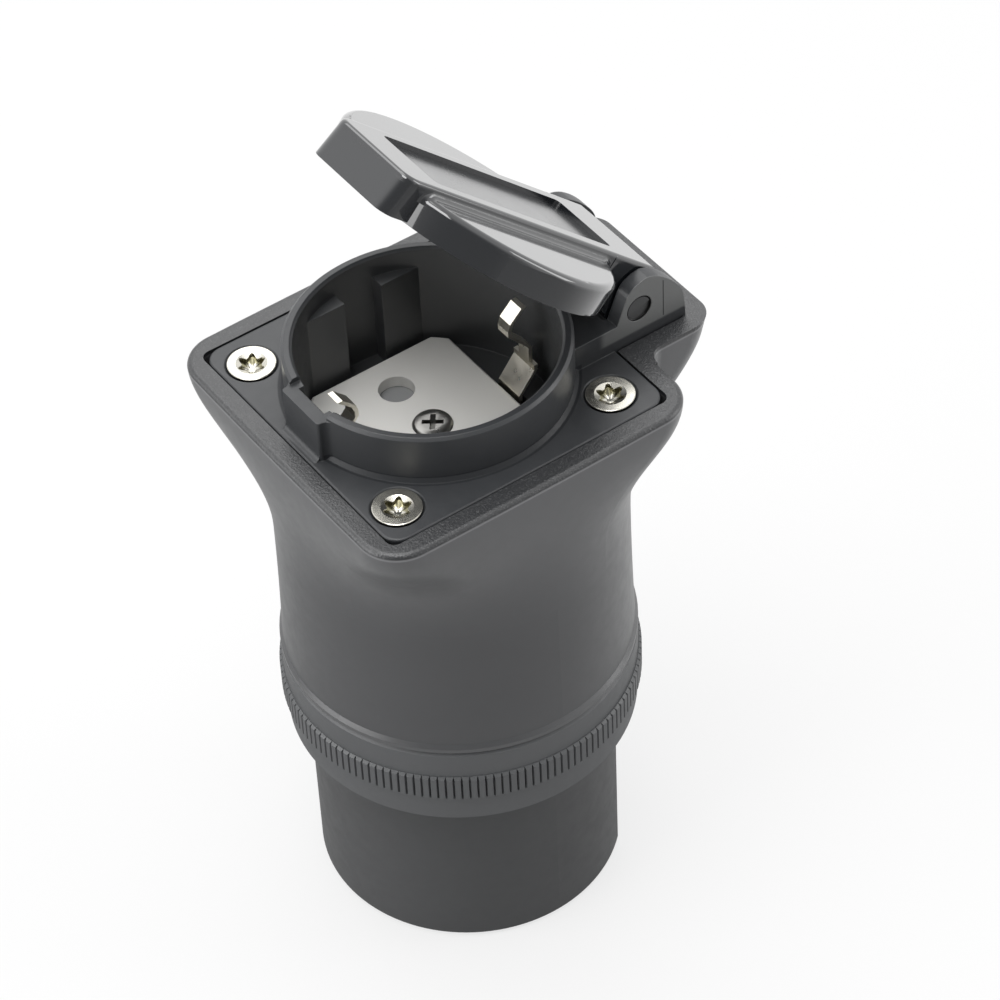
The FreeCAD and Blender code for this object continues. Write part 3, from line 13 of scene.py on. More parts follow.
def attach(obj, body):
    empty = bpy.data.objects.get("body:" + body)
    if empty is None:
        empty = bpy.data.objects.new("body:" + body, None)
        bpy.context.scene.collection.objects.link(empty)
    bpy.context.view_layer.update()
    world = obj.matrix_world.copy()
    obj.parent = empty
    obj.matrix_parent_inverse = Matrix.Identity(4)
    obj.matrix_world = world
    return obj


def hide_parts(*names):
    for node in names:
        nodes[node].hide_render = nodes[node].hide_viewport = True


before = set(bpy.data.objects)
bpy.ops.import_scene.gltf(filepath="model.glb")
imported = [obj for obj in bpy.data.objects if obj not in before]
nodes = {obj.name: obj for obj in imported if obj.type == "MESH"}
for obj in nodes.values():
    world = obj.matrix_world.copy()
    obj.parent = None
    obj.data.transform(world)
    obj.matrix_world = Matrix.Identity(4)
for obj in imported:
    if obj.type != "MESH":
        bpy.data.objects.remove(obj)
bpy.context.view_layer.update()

# Studio

CAMERA_PLACE = Vector((0.34464, -0.22128, 0.48593))
CAMERA_RIGHT = Vector((0.58472, 0.81044, -0.03589))
CAMERA_UP = Vector((-0.56026, 0.43542, 0.70463))
CAMERA_BACK = Vector((0.58669, -0.39190, 0.70866))
CAMERA_LENS = 136.8
CAMERA_SENSOR = 36.0
CAMERA_NEAR = 0.01

# A fade gives where a value starts and ends, and what it becomes there.
WORLD_FRONT = Vector((0.76, -0.49, 0.42))
WORLD_FADE = (0.35, 0.97, 0.95, 0.24)
FLOOR_SIZE = 8.0
FLOOR_LEVEL = -0.00005
FLOOR_PAPER = (0.70, 0.70, 0.70, 1)
FLOOR_ROUGHNESS = 0.9
FLOOR_SPECULAR = 0.1
FLOOR_GLOW = 0.72
FLOOR_MIRRORED_PAINTED_SHADE = (0.05, 0.05, 0.05, 1)
FLOOR_BEHIND = (-0.62, 0.78, 0.0)
MIRRORED_FADE = (-0.05, 0.17, 0.32, 1.0)
WHITE = 1.0

# Each lamp's place, the point it faces, its two sides and its watts.
LAMPS = {
    "key_panel": ((-0.5, 0.2, 1.1), (0, 0, 0.08), (0.9, 0.9), 4.3),
    "recess_panel": ((0.12, -0.22, 1.0), (0, 0, 0.09), (0.5, 0.5), 3.5),
    "left_strip": ((-0.25, -1.0, 0.45), (0, 0, 0.07), (0.9, 0.9), 5.5),
    "right_strip": ((0.55, 0.95, 0.35), (0, 0, 0.07), (0.35, 0.9), 2.5),
}


def place_camera():
    camera = bpy.data.cameras.new("studio_camera")
    camera.sensor_width = CAMERA_SENSOR
    camera.lens = CAMERA_LENS
    camera.clip_start = CAMERA_NEAR
    holder = bpy.data.objects.new("studio_camera", camera)
    bpy.context.scene.collection.objects.link(holder)
    turned = Matrix((CAMERA_RIGHT, CAMERA_UP, CAMERA_BACK)).transposed().to_4x4()
    holder.matrix_world = Matrix.Translation(CAMERA_PLACE) @ turned
    bpy.context.scene.camera = holder


def soft_light(name, place, target, size, power):
    lamp = bpy.data.lights.new(name, "AREA")
    lamp.shape = "RECTANGLE"
    lamp.size, lamp.size_y = size
    lamp.energy = power
    holder = bpy.data.objects.new(name, lamp)
    bpy.context.scene.collection.objects.link(holder)
    toward = Vector(target) - Vector(place)
    holder.rotation_euler = toward.to_track_quat("-Z", "Y").to_euler()
    holder.location = place


def faded(tree, value, fade):
    """The value taken smoothly from the fade's first two numbers to its last two."""
    item = tree.nodes.new("ShaderNodeMapRange")
    item.interpolation_type = "SMOOTHSTEP"
    for socket, number in zip(("From Min", "From Max", "To Min", "To Max"), fade):
        item.inputs[socket].default_value = number
    tree.links.new(value, item.inputs["Value"])
    return item.outputs["Result"]


def part_along(tree, place, direction):
    """How far a place, or a direction, goes along another direction."""
    item = tree.nodes.new("ShaderNodeVectorMath")
    item.operation = "DOT_PRODUCT"
    item.inputs[1].default_value = direction
    tree.links.new(place, item.inputs[0])
    return item.outputs["Value"]


def light_world():
    """White all round for the camera, dimmer on the camera's side for what lights the object."""
    world = bpy.data.worlds.new("studio_world")
    bpy.context.scene.world = world
    world.use_nodes = True
    tree = world.node_tree
    tree.nodes.clear()
    direction = tree.nodes.new("ShaderNodeTexCoord").outputs["Generated"]
    front = part_along(tree, direction, WORLD_FRONT.normalized())
    rays = tree.nodes.new("ShaderNodeLightPath")
    seen = tree.nodes.new("ShaderNodeMix")
    tree.links.new(rays.outputs["Is Camera Ray"], seen.inputs["Factor"])
    tree.links.new(faded(tree, front, WORLD_FADE), seen.inputs["A"])
    seen.inputs["B"].default_value = WHITE
    background = tree.nodes.new("ShaderNodeBackground")
    background.inputs["Color"].default_value = (1, 1, 1, 1)
    tree.links.new(seen.outputs["Result"], background.inputs["Strength"])
    out = tree.nodes.new("ShaderNodeOutputWorld")
    tree.links.new(background.outputs["Background"], out.inputs["Surface"])


def blended(tree, share, first, second):
    """One shader turning into a second one where the share is high."""
    item = tree.nodes.new("ShaderNodeMixShader")
    for socket, source in zip(item.inputs, (share, first, second)):
        tree.links.new(source, socket)
    return item.outputs["Shader"]


def paper_glow(tree, shader):
    """The floor as the camera sees it, and as a glossy surface mirrors it: white behind, with a
    painted shade in front.
    """
    paper = shader.outputs["BSDF"]
    glow = tree.nodes.new("ShaderNodeEmission")
    glow.inputs["Strength"].default_value = WHITE
    rays = tree.nodes.new("ShaderNodeLightPath")
    share = tree.nodes.new("ShaderNodeMath")
    share.operation = "MULTIPLY"
    tree.links.new(rays.outputs["Is Camera Ray"], share.inputs[0])
    share.inputs[1].default_value = FLOOR_GLOW
    seen = blended(tree, share.outputs["Value"], paper, glow.outputs["Emission"])
    place = tree.nodes.new("ShaderNodeTexCoord").outputs["Object"]
    behind = faded(tree, part_along(tree, place, FLOOR_BEHIND), MIRRORED_FADE)
    # Painted shade: glossy surfaces see a dark floor in front of the object, fading to white
    # behind it.
    dark = tree.nodes.new("ShaderNodeBsdfDiffuse")
    dark.inputs["Color"].default_value = FLOOR_MIRRORED_PAINTED_SHADE
    mirrored = blended(tree, behind, dark.outputs["BSDF"], glow.outputs["Emission"])
    result = blended(tree, rays.outputs["Is Glossy Ray"], seen, mirrored)
    tree.links.new(result, tree.nodes["Material Output"].inputs["Surface"])


def lay_floor():
    bpy.ops.object.select_all(action="DESELECT")
    bpy.ops.mesh.primitive_plane_add(size=FLOOR_SIZE, location=(0, 0, FLOOR_LEVEL))
    floor = bpy.context.object
    floor.name = "studio_floor"
    paper = bpy.data.materials.new("floor_paper")
    paper.use_nodes = True
    shader = paper.node_tree.nodes["Principled BSDF"]
    shader.inputs["Base Color"].default_value = FLOOR_PAPER
    shader.inputs["Roughness"].default_value = FLOOR_ROUGHNESS
    shader.inputs["Specular IOR Level"].default_value = FLOOR_SPECULAR
    paper_glow(paper.node_tree, shader)
    floor.data.materials.append(paper)


# Finishes

# Places of a Mix node's colour sockets, whose names its number sockets share.
MIX_FIRST = 6
MIX_SECOND = 7
MIX_RESULT = 2

# How well the rounded normal agrees with the face's own, from at an edge to away from it.
EDGE_FADE = (0.80, 0.975, 1.0, 0.0)


class Finish:
    """One procedural finish: a Principled shader with grain, tone, and burnished edges with a
    painted highlight added by steps.
    """

    def __init__(self, name, colour, roughness, metallic=0.0):
        self.material = bpy.data.materials.new(name)
        self.material.use_nodes = True
        self.tree = self.material.node_tree
        self.shader = self.tree.nodes["Principled BSDF"]
        self.colour = colour
        self.set("Base Color", (*colour, 1.0))
        self.set("Roughness", roughness)
        self.set("Metallic", metallic)
        self.place = self.tree.nodes.new("ShaderNodeTexCoord").outputs["Object"]
        self.tone = None
        self.normal = None

    def set(self, socket, value):
        self.shader.inputs[socket].default_value = value

    def drive(self, socket, value):
        """Lets a value that varies over the surface set one of the shader's sockets."""
        self.link(value, self.shader.inputs[socket])

    def node(self, kind, **values):
        item = self.tree.nodes.new("ShaderNode" + kind)
        for key, value in values.items():
            setattr(item, key, value)
        return item

    def link(self, source, socket):
        self.tree.links.new(source, socket)

    def noise(self, scale, detail=2.0, rough=0.5, stretch=(1, 1, 1), turn=0.0):
        """Noise with cells of about 1/scale metres, finer along an axis that is stretched."""
        mapping = self.node("Mapping")
        self.link(self.place, mapping.inputs["Vector"])
        mapping.inputs["Scale"].default_value = stretch
        mapping.inputs["Rotation"].default_value = (0, 0, math.radians(turn))
        item = self.node("TexNoise")
        item.inputs["Scale"].default_value = scale
        item.inputs["Detail"].default_value = detail
        item.inputs["Roughness"].default_value = rough
        self.link(mapping.outputs["Vector"], item.inputs["Vector"])
        return item.outputs["Fac"]

    def between(self, value, low, high, to_low=0.0, to_high=1.0):
        return faded(self.tree, value, (low, high, to_low, to_high))

    def math(self, operation, first, second):
        item = self.node("Math", operation=operation)
        for socket, value in zip(item.inputs, (first, second)):
            if isinstance(value, (int, float)):
                socket.default_value = value
            else:
                self.link(value, socket)
        return item.outputs["Value"]

    def times(self, first, second):
        return self.math("MULTIPLY", first, second)

    def along(self, axis):
        item = self.node("SeparateXYZ")
        self.link(self.place, item.inputs["Vector"])
        return item.outputs[axis]

    def distance(self, first, second):
        """The length of the slope over two square legs."""
        square = self.math("ADD", self.times(first, first), self.times(second, second))
        return self.math("POWER", square, 0.5)

    def band(self, axis, middle, half):
        """1 on a narrow band across an axis, 0 a half width away from its middle."""
        gap = self.math("ABSOLUTE", self.math("SUBTRACT", self.along(axis), middle), 0.0)
        return self.between(gap, half * 0.4, half, 1.0, 0.0)

    def shade(self, share, colour):
        """Blends the colour towards another one where share is high."""
        item = self.node("Mix", data_type="RGBA")
        self.link(share, item.inputs["Factor"])
        if self.tone is None:
            item.inputs[MIX_FIRST].default_value = (*self.colour, 1.0)
        else:
            self.link(self.tone, item.inputs[MIX_FIRST])
        item.inputs[MIX_SECOND].default_value = (*colour, 1.0)
        self.tone = item.outputs[MIX_RESULT]
        self.drive("Base Color", self.tone)

    def vary_roughness(self, share, low, high):
        self.drive("Roughness", self.between(share, 0.25, 0.75, low, high))

    def bump(self, height, depth, strength=None):
        item = self.node("Bump")
        item.inputs["Distance"].default_value = depth
        item.inputs["Strength"].default_value = 1.0
        if strength is not None:
            self.link(strength, item.inputs["Strength"])
        self.link(height, item.inputs["Height"])
        if self.normal is not None:
            self.link(self.normal, item.inputs["Normal"])
        self.normal = item.outputs["Normal"]
        self.drive("Normal", self.normal)

    def round_edges(self, radius):
        """Softens sharp edges in the shading and returns where they are."""
        soft = self.node("Bevel", samples=6)
        soft.inputs["Radius"].default_value = radius
        flat = self.node("NewGeometry")
        dot = self.node("VectorMath", operation="DOT_PRODUCT")
        self.link(soft.outputs["Normal"], dot.inputs[0])
        self.link(flat.outputs["Normal"], dot.inputs[1])
        self.normal = soft.outputs["Normal"]
        self.drive("Normal", self.normal)
        return faded(self.tree, dot.outputs["Value"], EDGE_FADE)


def scaled(colour, factor, lift=0.0):
    return tuple(min(c * factor + lift, 1.0) for c in colour)


CLOUD_CELLS = 26.0
RUB_CELLS = 150.0
RUB_STRETCH = (1.0, 5.0, 1.0)
RUB_TURN = 37.0
GLOSS_CELLS = 0.08


def moulded(name, colour, roughness, grain, depth, edge=0.0, wear_and_highlight=0.35, index=1.58):
    """Moulded plastic: fine grain, slow tone changes, burnished edges with a painted highlight and
    faint rub marks.
    """
    finish = Finish(name, colour, roughness)
    finish.set("IOR", index)
    clouds = finish.noise(CLOUD_CELLS, 2.0, 0.5)
    finish.shade(finish.between(clouds, 0.35, 0.75), scaled(colour, 1.10, 0.001))
    finish.shade(finish.between(clouds, 0.45, 0.22), scaled(colour, 0.93))
    rubs = finish.noise(RUB_CELLS, 4.0, 0.6, stretch=RUB_STRETCH, turn=RUB_TURN)
    finish.shade(finish.between(rubs, 0.66, 0.80, 0.0, 0.5), scaled(colour, 1.25, 0.004))
    if edge:
        # Burnished edges with a painted highlight: the edges are lightened.
        edge_wear_and_highlight = finish.round_edges(edge)
        finish.shade(finish.times(edge_wear_and_highlight, wear_and_highlight), scaled(colour, 1.9, 0.03))
    gloss = finish.noise(grain * GLOSS_CELLS, 3.0, 0.6)
    finish.vary_roughness(gloss, roughness - 0.04, roughness + 0.05)
    finish.bump(finish.noise(grain, 2.0, 0.6), depth)
    return finish


STAIN_CELLS = 240.0
POLISH_CELLS = 500.0


def plated(name, colour, roughness):
    """Plated metal: almost even, with faint handling marks."""
    finish = Finish(name, colour, roughness, 1.0)
    stains = finish.noise(STAIN_CELLS, 2.0, 0.5)
    finish.shade(finish.between(stains, 0.5, 0.8), scaled(colour, 0.88))
    polish = finish.noise(POLISH_CELLS, 2.0, 0.5)
    finish.vary_roughness(polish, roughness * 0.9, roughness * 1.15)
    return finish


HOUSING_COLOUR = (0.061, 0.0625, 0.0655)
# Painted sheen on the flare.
FLARE_PAINTED_SHEEN = (0.112, 0.114, 0.118)
FLARE_SHEEN_SPAN = (0.068, 0.094)
RIM_COLOUR = (0.017, 0.018, 0.020)
# Painted glints on the rim's grain.
RIM_PAINTED_GLINT = (0.12, 0.122, 0.125)
RIM_LOW = 0.10125
RIM_HIGH = 0.10150
RIM_CELLS = 3100.0
RIM_DEPTH = 0.00012
# Painted highlight along the witness line.
WITNESS_PAINTED_HIGHLIGHT = (0.30, 0.30, 0.31)
WITNESS_LEVEL = RIM_LOW - 0.0001
WITNESS_HALF = 0.00026
# Painted highlight band near the body's lower edge.
FOOT_PAINTED_HIGHLIGHT = (0.10, 0.102, 0.105)
FOOT_LEVEL = 0.0490
FOOT_HALF = 0.0007


def housing_finish():
    """Smooth satin body with a painted sheen on the flare, eroded grain on the rim with painted
    glints, a painted highlight along the witness line below it, and a painted highlight band near
    its lower edge.
    """
    finish = moulded("housing_satin", HOUSING_COLOUR, 0.36, 5200.0, 0.000006, index=1.66)
    finish.set("Coat Weight", 0.35)
    finish.set("Coat Roughness", 0.3)
    height = finish.along("Z")
    # Painted sheen: the flare is lightened between two heights.
    finish.shade(finish.times(finish.between(height, *FLARE_SHEEN_SPAN), 0.7), FLARE_PAINTED_SHEEN)
    rim = finish.between(height, RIM_LOW, RIM_HIGH)
    finish.shade(finish.times(rim, 0.9), RIM_COLOUR)
    coarse = finish.noise(RIM_CELLS, 2.0, 0.55)
    # Painted glints: light specks laid on the rim's grain.
    grain_glints = finish.times(rim, finish.between(coarse, 0.56, 0.70))
    finish.shade(finish.times(grain_glints, 0.35), RIM_PAINTED_GLINT)
    # Painted highlight: a bright line along the witness line under the rim.
    line = finish.band("Z", WITNESS_LEVEL, WITNESS_HALF)
    finish.shade(finish.times(line, 0.40), WITNESS_PAINTED_HIGHLIGHT)
    # Painted highlight: a light band near the body's lower edge.
    painted_foot = finish.band("Z", FOOT_LEVEL, FOOT_HALF)
    finish.shade(finish.times(painted_foot, 0.5), FOOT_PAINTED_HIGHLIGHT)
    finish.bump(coarse, RIM_DEPTH, finish.times(rim, 0.9))
    return finish


# The two numbers of a span run from where its mark is absent to where it is full.
SOCKET_COLOUR = (0.033, 0.035, 0.038)
SOCKET_Y = -0.0024
WEAR_AND_HIGHLIGHT_COLOUR = (0.11, 0.115, 0.12)
WEAR_AND_HIGHLIGHT_RADIUS = 0.00022
WEAR_AND_HIGHLIGHT_LEVEL = (0.1036, 0.1040)
WEAR_AND_HIGHLIGHT_REACH = (0.0250, 0.0256)
# Painted fill light inside the recess.
RECESS_PAINTED_FILL = (0.052, 0.054, 0.056)
RECESS_REACH = (0.0201, 0.0199)
# Painted shade in the concave fillet at the collar's base.
COLLAR_FOOT_PAINTED_SHADE = (0.016, 0.017, 0.019)
COLLAR_FOOT_LEVEL = (0.1031, 0.1028)
COLLAR_FOOT_OUTER = (0.0226, 0.0223)
COLLAR_FOOT_INNER = (0.0212, 0.0214)
PIN_GAP_COLOUR = (0.004, 0.004, 0.004)
PIN_Y = 0.02724
PIN_Z = 0.10802
PIN_GAP_REACH = (0.0024, 0.0023)
PIN_GAP_SIDE = (0.008, 0.009)
# Painted light on the ears' outer sides.
EAR_PAINTED_LIGHT = (0.130, 0.133, 0.132)
EAR_LEVEL = (0.1036, 0.1042)
EAR_SIDE = (0.01195, 0.01205)
EAR_BACK = (0.022, 0.0235)
SEAM_COLOUR = (0.006, 0.006, 0.006)
SEAM_Y = 0.0317
SEAM_HALF = 0.00013
SEAM_FOOT = (0.1042, 0.1043)
SEAM_HEAD = (0.1112, 0.1111)
SCRATCH_COLOUR = (0.075, 0.08, 0.085)
SCRATCH_CELLS = 260.0
SCRATCH_STRETCH = (1.0, 14.0, 1.0)
SCRATCH_TURN = 52.0
SOCKET_GRAIN = 5600.0
SOCKET_DEPTH = 0.000007


def socket_finish():
    """Bluish charcoal with fine rub marks, rubbed upper edges with a painted highlight, painted
    fill light in the recess, painted shade at the collar's base, painted light on the ears, and
    the ears' witness line.
    """
    finish = moulded("socket_satin", SOCKET_COLOUR, 0.38, SOCKET_GRAIN, SOCKET_DEPTH, index=1.6)
    height = finish.along("Z")
    side = finish.math("ABSOLUTE", finish.along("X"), 0.0)
    forward = finish.math("SUBTRACT", finish.along("Y"), SOCKET_Y)
    reach = finish.distance(side, forward)

    # Rubbed upper edges with a painted highlight: only the upper edges are lightened.
    upper = finish.math("MAXIMUM", finish.between(height, *WEAR_AND_HIGHLIGHT_LEVEL),
                        finish.between(reach, *WEAR_AND_HIGHLIGHT_REACH))
    edge_wear_and_highlight = finish.times(finish.round_edges(WEAR_AND_HIGHLIGHT_RADIUS), upper)
    finish.shade(finish.times(edge_wear_and_highlight, 0.6), WEAR_AND_HIGHLIGHT_COLOUR)
    # Painted fill light: the inside of the recess is lightened.
    inner = finish.between(reach, *RECESS_REACH)
    finish.shade(finish.times(inner, 0.8), RECESS_PAINTED_FILL)

    # Painted shade: the concave fillet at the collar's base is darkened.
    ring = finish.times(finish.between(reach, *COLLAR_FOOT_OUTER),
                        finish.between(reach, *COLLAR_FOOT_INNER))
    painted_foot = finish.times(finish.between(height, *COLLAR_FOOT_LEVEL), ring)
    finish.shade(finish.times(painted_foot, 0.4), COLLAR_FOOT_PAINTED_SHADE)
    finish.drive("Specular IOR Level", finish.between(painted_foot, 0.0, 1.0, 0.5, 0.2))

    rise = finish.math("SUBTRACT", height, PIN_Z)
    back = finish.math("SUBTRACT", forward, PIN_Y - SOCKET_Y)
    gap = finish.between(finish.distance(rise, back), *PIN_GAP_REACH)
    finish.shade(finish.times(gap, finish.between(side, *PIN_GAP_SIDE)), PIN_GAP_COLOUR)

    outer = finish.between(side, *EAR_SIDE)
    # Painted light: the ears' outer sides are lightened above the plate.
    ear_painted_light = finish.times(finish.between(height, *EAR_LEVEL), outer)
    finish.shade(finish.times(ear_painted_light, finish.between(forward, *EAR_BACK)), EAR_PAINTED_LIGHT)
    span = finish.times(finish.between(height, *SEAM_FOOT), finish.between(height, *SEAM_HEAD))
    seam = finish.times(finish.band("Y", SEAM_Y, SEAM_HALF), finish.times(span, outer))
    finish.shade(seam, SEAM_COLOUR)

    scratches = finish.noise(SCRATCH_CELLS, 5.0, 0.7, stretch=SCRATCH_STRETCH, turn=SCRATCH_TURN)
    finish.shade(finish.between(scratches, 0.70, 0.78, 0.0, 0.55), SCRATCH_COLOUR)
    finish.bump(finish.noise(SOCKET_GRAIN, 2.0, 0.6), SOCKET_DEPTH)
    return finish


LID_COLOUR = (0.010, 0.0115, 0.014)
LID_UP = (0.6845, 0.7290)
LID_GLOSS_CELLS = 240.0
LID_WAVE_CELLS = 45.0
LID_WAVE_DEPTH = 0.00001
LABEL_LEVEL = 0.1023
LABEL_NEAR = 0.0002
LABEL_FAR = 0.0003


def lid_finish():
    """Gloss black with a coat, and a more matt floor in the label's recess."""
    finish = Finish("lid_gloss_black", LID_COLOUR, 0.08)
    finish.set("Coat IOR", 1.8)
    finish.set("IOR", 1.5)
    level = finish.math("ADD", finish.times(finish.along("Y"), LID_UP[0]),
                        finish.times(finish.along("Z"), LID_UP[1]))
    label = finish.times(
        finish.between(level, LABEL_LEVEL - LABEL_FAR, LABEL_LEVEL - LABEL_NEAR),
        finish.between(level, LABEL_LEVEL + LABEL_FAR, LABEL_LEVEL + LABEL_NEAR))
    gloss = finish.between(finish.noise(LID_GLOSS_CELLS, 3.0, 0.6), 0.25, 0.75, 0.06, 0.11)
    finish.drive("Roughness", finish.math("ADD", gloss, finish.times(label, 0.17)))
    finish.drive("Coat Roughness", finish.math("ADD", finish.times(label, 0.18), 0.03))
    finish.drive("Coat Weight", finish.between(label, 0.0, 1.0, 1.0, 0.9))
    finish.bump(finish.noise(LID_WAVE_CELLS, 1.0, 0.5), LID_WAVE_DEPTH)
    return finish


PLATE_TOP = 0.10205
STAR_WALL_TOP = (PLATE_TOP - 0.0003, PLATE_TOP - 0.00045)
STAR_WALL_FOOT = (PLATE_TOP - 0.00125, PLATE_TOP - 0.00105)
COVER_HEAD_TOP = 0.09265
CROSS_DEPTH = (COVER_HEAD_TOP - 0.0003, COVER_HEAD_TOP - 0.0006)


def screw_finish():
    """Yellowish zinc, with painted shade on the walls of the star recess, bright again on its
    floor.
    """
    finish = plated("screw_zinc", (0.76, 0.74, 0.665), 0.24)
    height = finish.along("Z")
    painted_wall_shade = finish.times(finish.between(height, *STAR_WALL_TOP),
                        finish.between(height, *STAR_WALL_FOOT))
    # Painted shade on the walls of the star recess.
    finish.shade(finish.times(painted_wall_shade, 0.9), (0.20, 0.185, 0.10))
    return finish


def small_screw_finish():
    """Dull nickel, with painted shade in the cross recess."""
    finish = plated("small_screw_nickel", (0.34, 0.335, 0.32), 0.3)
    depth = finish.between(finish.along("Z"), *CROSS_DEPTH)
    # Painted shade: the cross recess is darkened.
    finish.shade(finish.times(depth, 0.85), (0.07, 0.068, 0.06))
    return finish


def coat_parts():
    """Gives every node its finish: colour, roughness, cells of grain and its depth."""
    finishes = {
        "housing_shell": housing_finish(),
        "grip_ring": moulded("ring_satin", (0.086, 0.089, 0.0925), 0.42, 5200.0, 0.000006),
        "plug_shell": moulded("nose_satin", (0.055, 0.0565, 0.0585), 0.42, 4800.0, 0.000006,
                              index=1.55),
        "socket_plate": socket_finish(),
        "contact_carrier": moulded("carrier_black", (0.020, 0.020, 0.022), 0.5, 5000.0, 0.000008),
        "socket_base": moulded("base_black", (0.022, 0.022, 0.023), 0.55, 4000.0, 0.000008),
        "contact_cover": moulded("tile_grey", (0.82, 0.81, 0.775), 0.38, 4600.0, 0.000004,
                                 edge=0.00018, wear_and_highlight=0.2, index=1.5),
        "shutter": moulded("shutter_grey", (0.30, 0.305, 0.31), 0.4, 4600.0, 0.000005),
        "lid": lid_finish(),
        "hinge_pin": moulded("pin_charcoal", (0.045, 0.046, 0.047), 0.4, 4600.0, 0.000007),
        "terminal_screws": plated("terminal_zinc", (0.76, 0.75, 0.70), 0.28),
        "earth_strap": plated("strap_nickel", (0.93, 0.89, 0.78), 0.3),
        "live_contacts": plated("clip_brass", (0.78, 0.60, 0.30), 0.26),
        "power_contacts": plated("contact_silver", (0.86, 0.84, 0.80), 0.24),
        "signal_contacts": plated("signal_silver", (0.86, 0.84, 0.80), 0.24),
        "retaining_ring": plated("snap_ring_steel", (0.56, 0.56, 0.57), 0.3),
        "shutter_spring": plated("spring_steel", (0.60, 0.60, 0.61), 0.25),
        "seal_ring": moulded("nose_seal_rubber", (0.03, 0.03, 0.03), 0.7, 3000.0, 0.00001),
        "flange_gasket": moulded("gasket_rubber", (0.03, 0.03, 0.03), 0.7, 3000.0, 0.00001),
        "lid_seal": moulded("lid_seal_rubber", (0.035, 0.035, 0.036), 0.65, 3000.0, 0.00001),
        "line_lead": moulded("lead_brown", (0.16, 0.065, 0.03), 0.4, 3000.0, 0.00001),
        "neutral_lead": moulded("lead_blue", (0.03, 0.12, 0.42), 0.4, 3000.0, 0.00001),
        "earth_lead": moulded("lead_green", (0.14, 0.38, 0.06), 0.4, 3000.0, 0.00001),
        "coding_resistor": moulded("resistor_enamel", (0.40, 0.50, 0.55), 0.3, 2500.0, 0.00001),
    }
    for name, finish in finishes.items():
        put_on(nodes[name], finish)


def put_on(piece, finish):
    piece.data.materials.clear()
    piece.data.materials.append(finish.material)


# Work on new pieces

# A face whose normal goes this far along an axis faces it.
SQUARE_ON = 0.9


def clear_selection():
    bpy.ops.object.select_all(action="DESELECT")


def choose(piece):
    clear_selection()
    piece.select_set(True)
    bpy.context.view_layer.objects.active = piece


def open_for_editing(piece):
    choose(piece)
    bpy.ops.object.mode_set(mode="EDIT")
    bpy.ops.mesh.select_all(action="DESELECT")


def close_editing():
    bpy.ops.object.mode_set(mode="OBJECT")


def middle_of(item):
    if isinstance(item, bmesh.types.BMVert):
        return item.co.copy()
    return item.calc_center_median()


def pick(piece, kind, test):
    """Selects only the verts or faces that pass the test, given with their middle."""
    bpy.ops.mesh.select_mode(type={"verts": "VERT", "faces": "FACE"}[kind])
    bpy.ops.mesh.select_all(action="DESELECT")
    form = bmesh.from_edit_mesh(piece.data)
    for item in getattr(form, kind):
        if test(item, middle_of(item)):
            item.select_set(True)
    form.select_flush_mode()
    bmesh.update_edit_mesh(piece.data)


def pick_top(piece):
    pick(piece, "faces", lambda f, m: f.normal.z > SQUARE_ON)


def pick_underside(piece):
    pick(piece, "faces", lambda f, m: f.normal.z < -SQUARE_ON)


def draw_out(rise, widen=1.0):
    """Extrudes the picked faces by a rise and widens or narrows their end about the Z axis."""
    bpy.ops.mesh.extrude_region_move(TRANSFORM_OT_translate={"value": (0, 0, rise)})
    if widen != 1.0:
        bpy.ops.transform.resize(value=(widen, widen, 1), center_override=(0, 0, 0))


def smooth_below(piece, angle):
    """Shades the piece smooth wherever two faces meet at less than the angle."""
    clear_selection()
    piece.select_set(True)
    bpy.ops.object.shade_smooth_by_angle(angle=math.radians(angle))


def settle_in_place(piece, place, turn):
    """Moves a piece modelled at the origin to its place and leaves its object unturned there."""
    piece.rotation_euler = (0, 0, math.radians(turn))
    piece.location = place
    choose(piece)
    bpy.ops.object.transform_apply(location=True, rotation=True, scale=True)


# Flange screws, with Z = 0 at the plate's face

SCREW_REACH = 0.019
SCREW_TURNS = {(1, -1): 19.0, (-1, -1): 25.0, (1, 1): 34.0, (-1, 1): 8.0}
SCREW_SIDES = 72
SCREW_HEAD = 0.00370
HEAD_BAND = 0.00015
HEAD_MIDDLE = -0.000125
HEAD_CONE = 0.00195
SCREW_SHANK = 0.0019
SHANK_LENGTH = 0.0078
TIP_LENGTH = 0.0006
TIP_NARROWING = 0.78
HEAD_BEVEL = 0.00012
HEAD_RISE = 0.00006
DISH_EDGE = 0.00240
DISH_SLOPE = 0.42
DISH_LEVEL = -0.0002
STAR_POINT = 0.00222
STAR_VALLEY = 0.00150
STAR_SHARPNESS = 1.25
STAR_DEPTH = 0.00075
STAR_FLOOR_DROP = 0.00050
LOBE_ANGLE = 60
SIDE_ANGLE = 5
LOBE_STEPS = 6
SCREW_SMOOTHING = 14


def star_class(middle):
    """0 on a lobe of the six-lobe star to 6 half way between two lobes, for each vertex."""
    angle = math.degrees(math.atan2(middle.y, middle.x)) % LOBE_ANGLE
    return round(min(angle, LOBE_ANGLE - angle) / SIDE_ANGLE)


def shape_star(screw):
    """Draws the inner ring of the dish into six lobes that lie on the dish's slope."""
    for group in range(LOBE_STEPS + 1):
        wave = 0.5 + 0.5 * math.cos(math.pi * group / LOBE_STEPS)
        radius = STAR_VALLEY + (STAR_POINT - STAR_VALLEY) * wave ** STAR_SHARPNESS
        pick(screw, "verts", lambda v, m: (m.z > DISH_LEVEL and m.xy.length < DISH_EDGE - 0.0001
                                           and star_class(m) == group))
        factor = radius / STAR_POINT
        bpy.ops.transform.resize(value=(factor, factor, 1), center_override=(0, 0, 0))
        bpy.ops.transform.translate(value=(0, 0, -(DISH_EDGE - radius) * DISH_SLOPE))


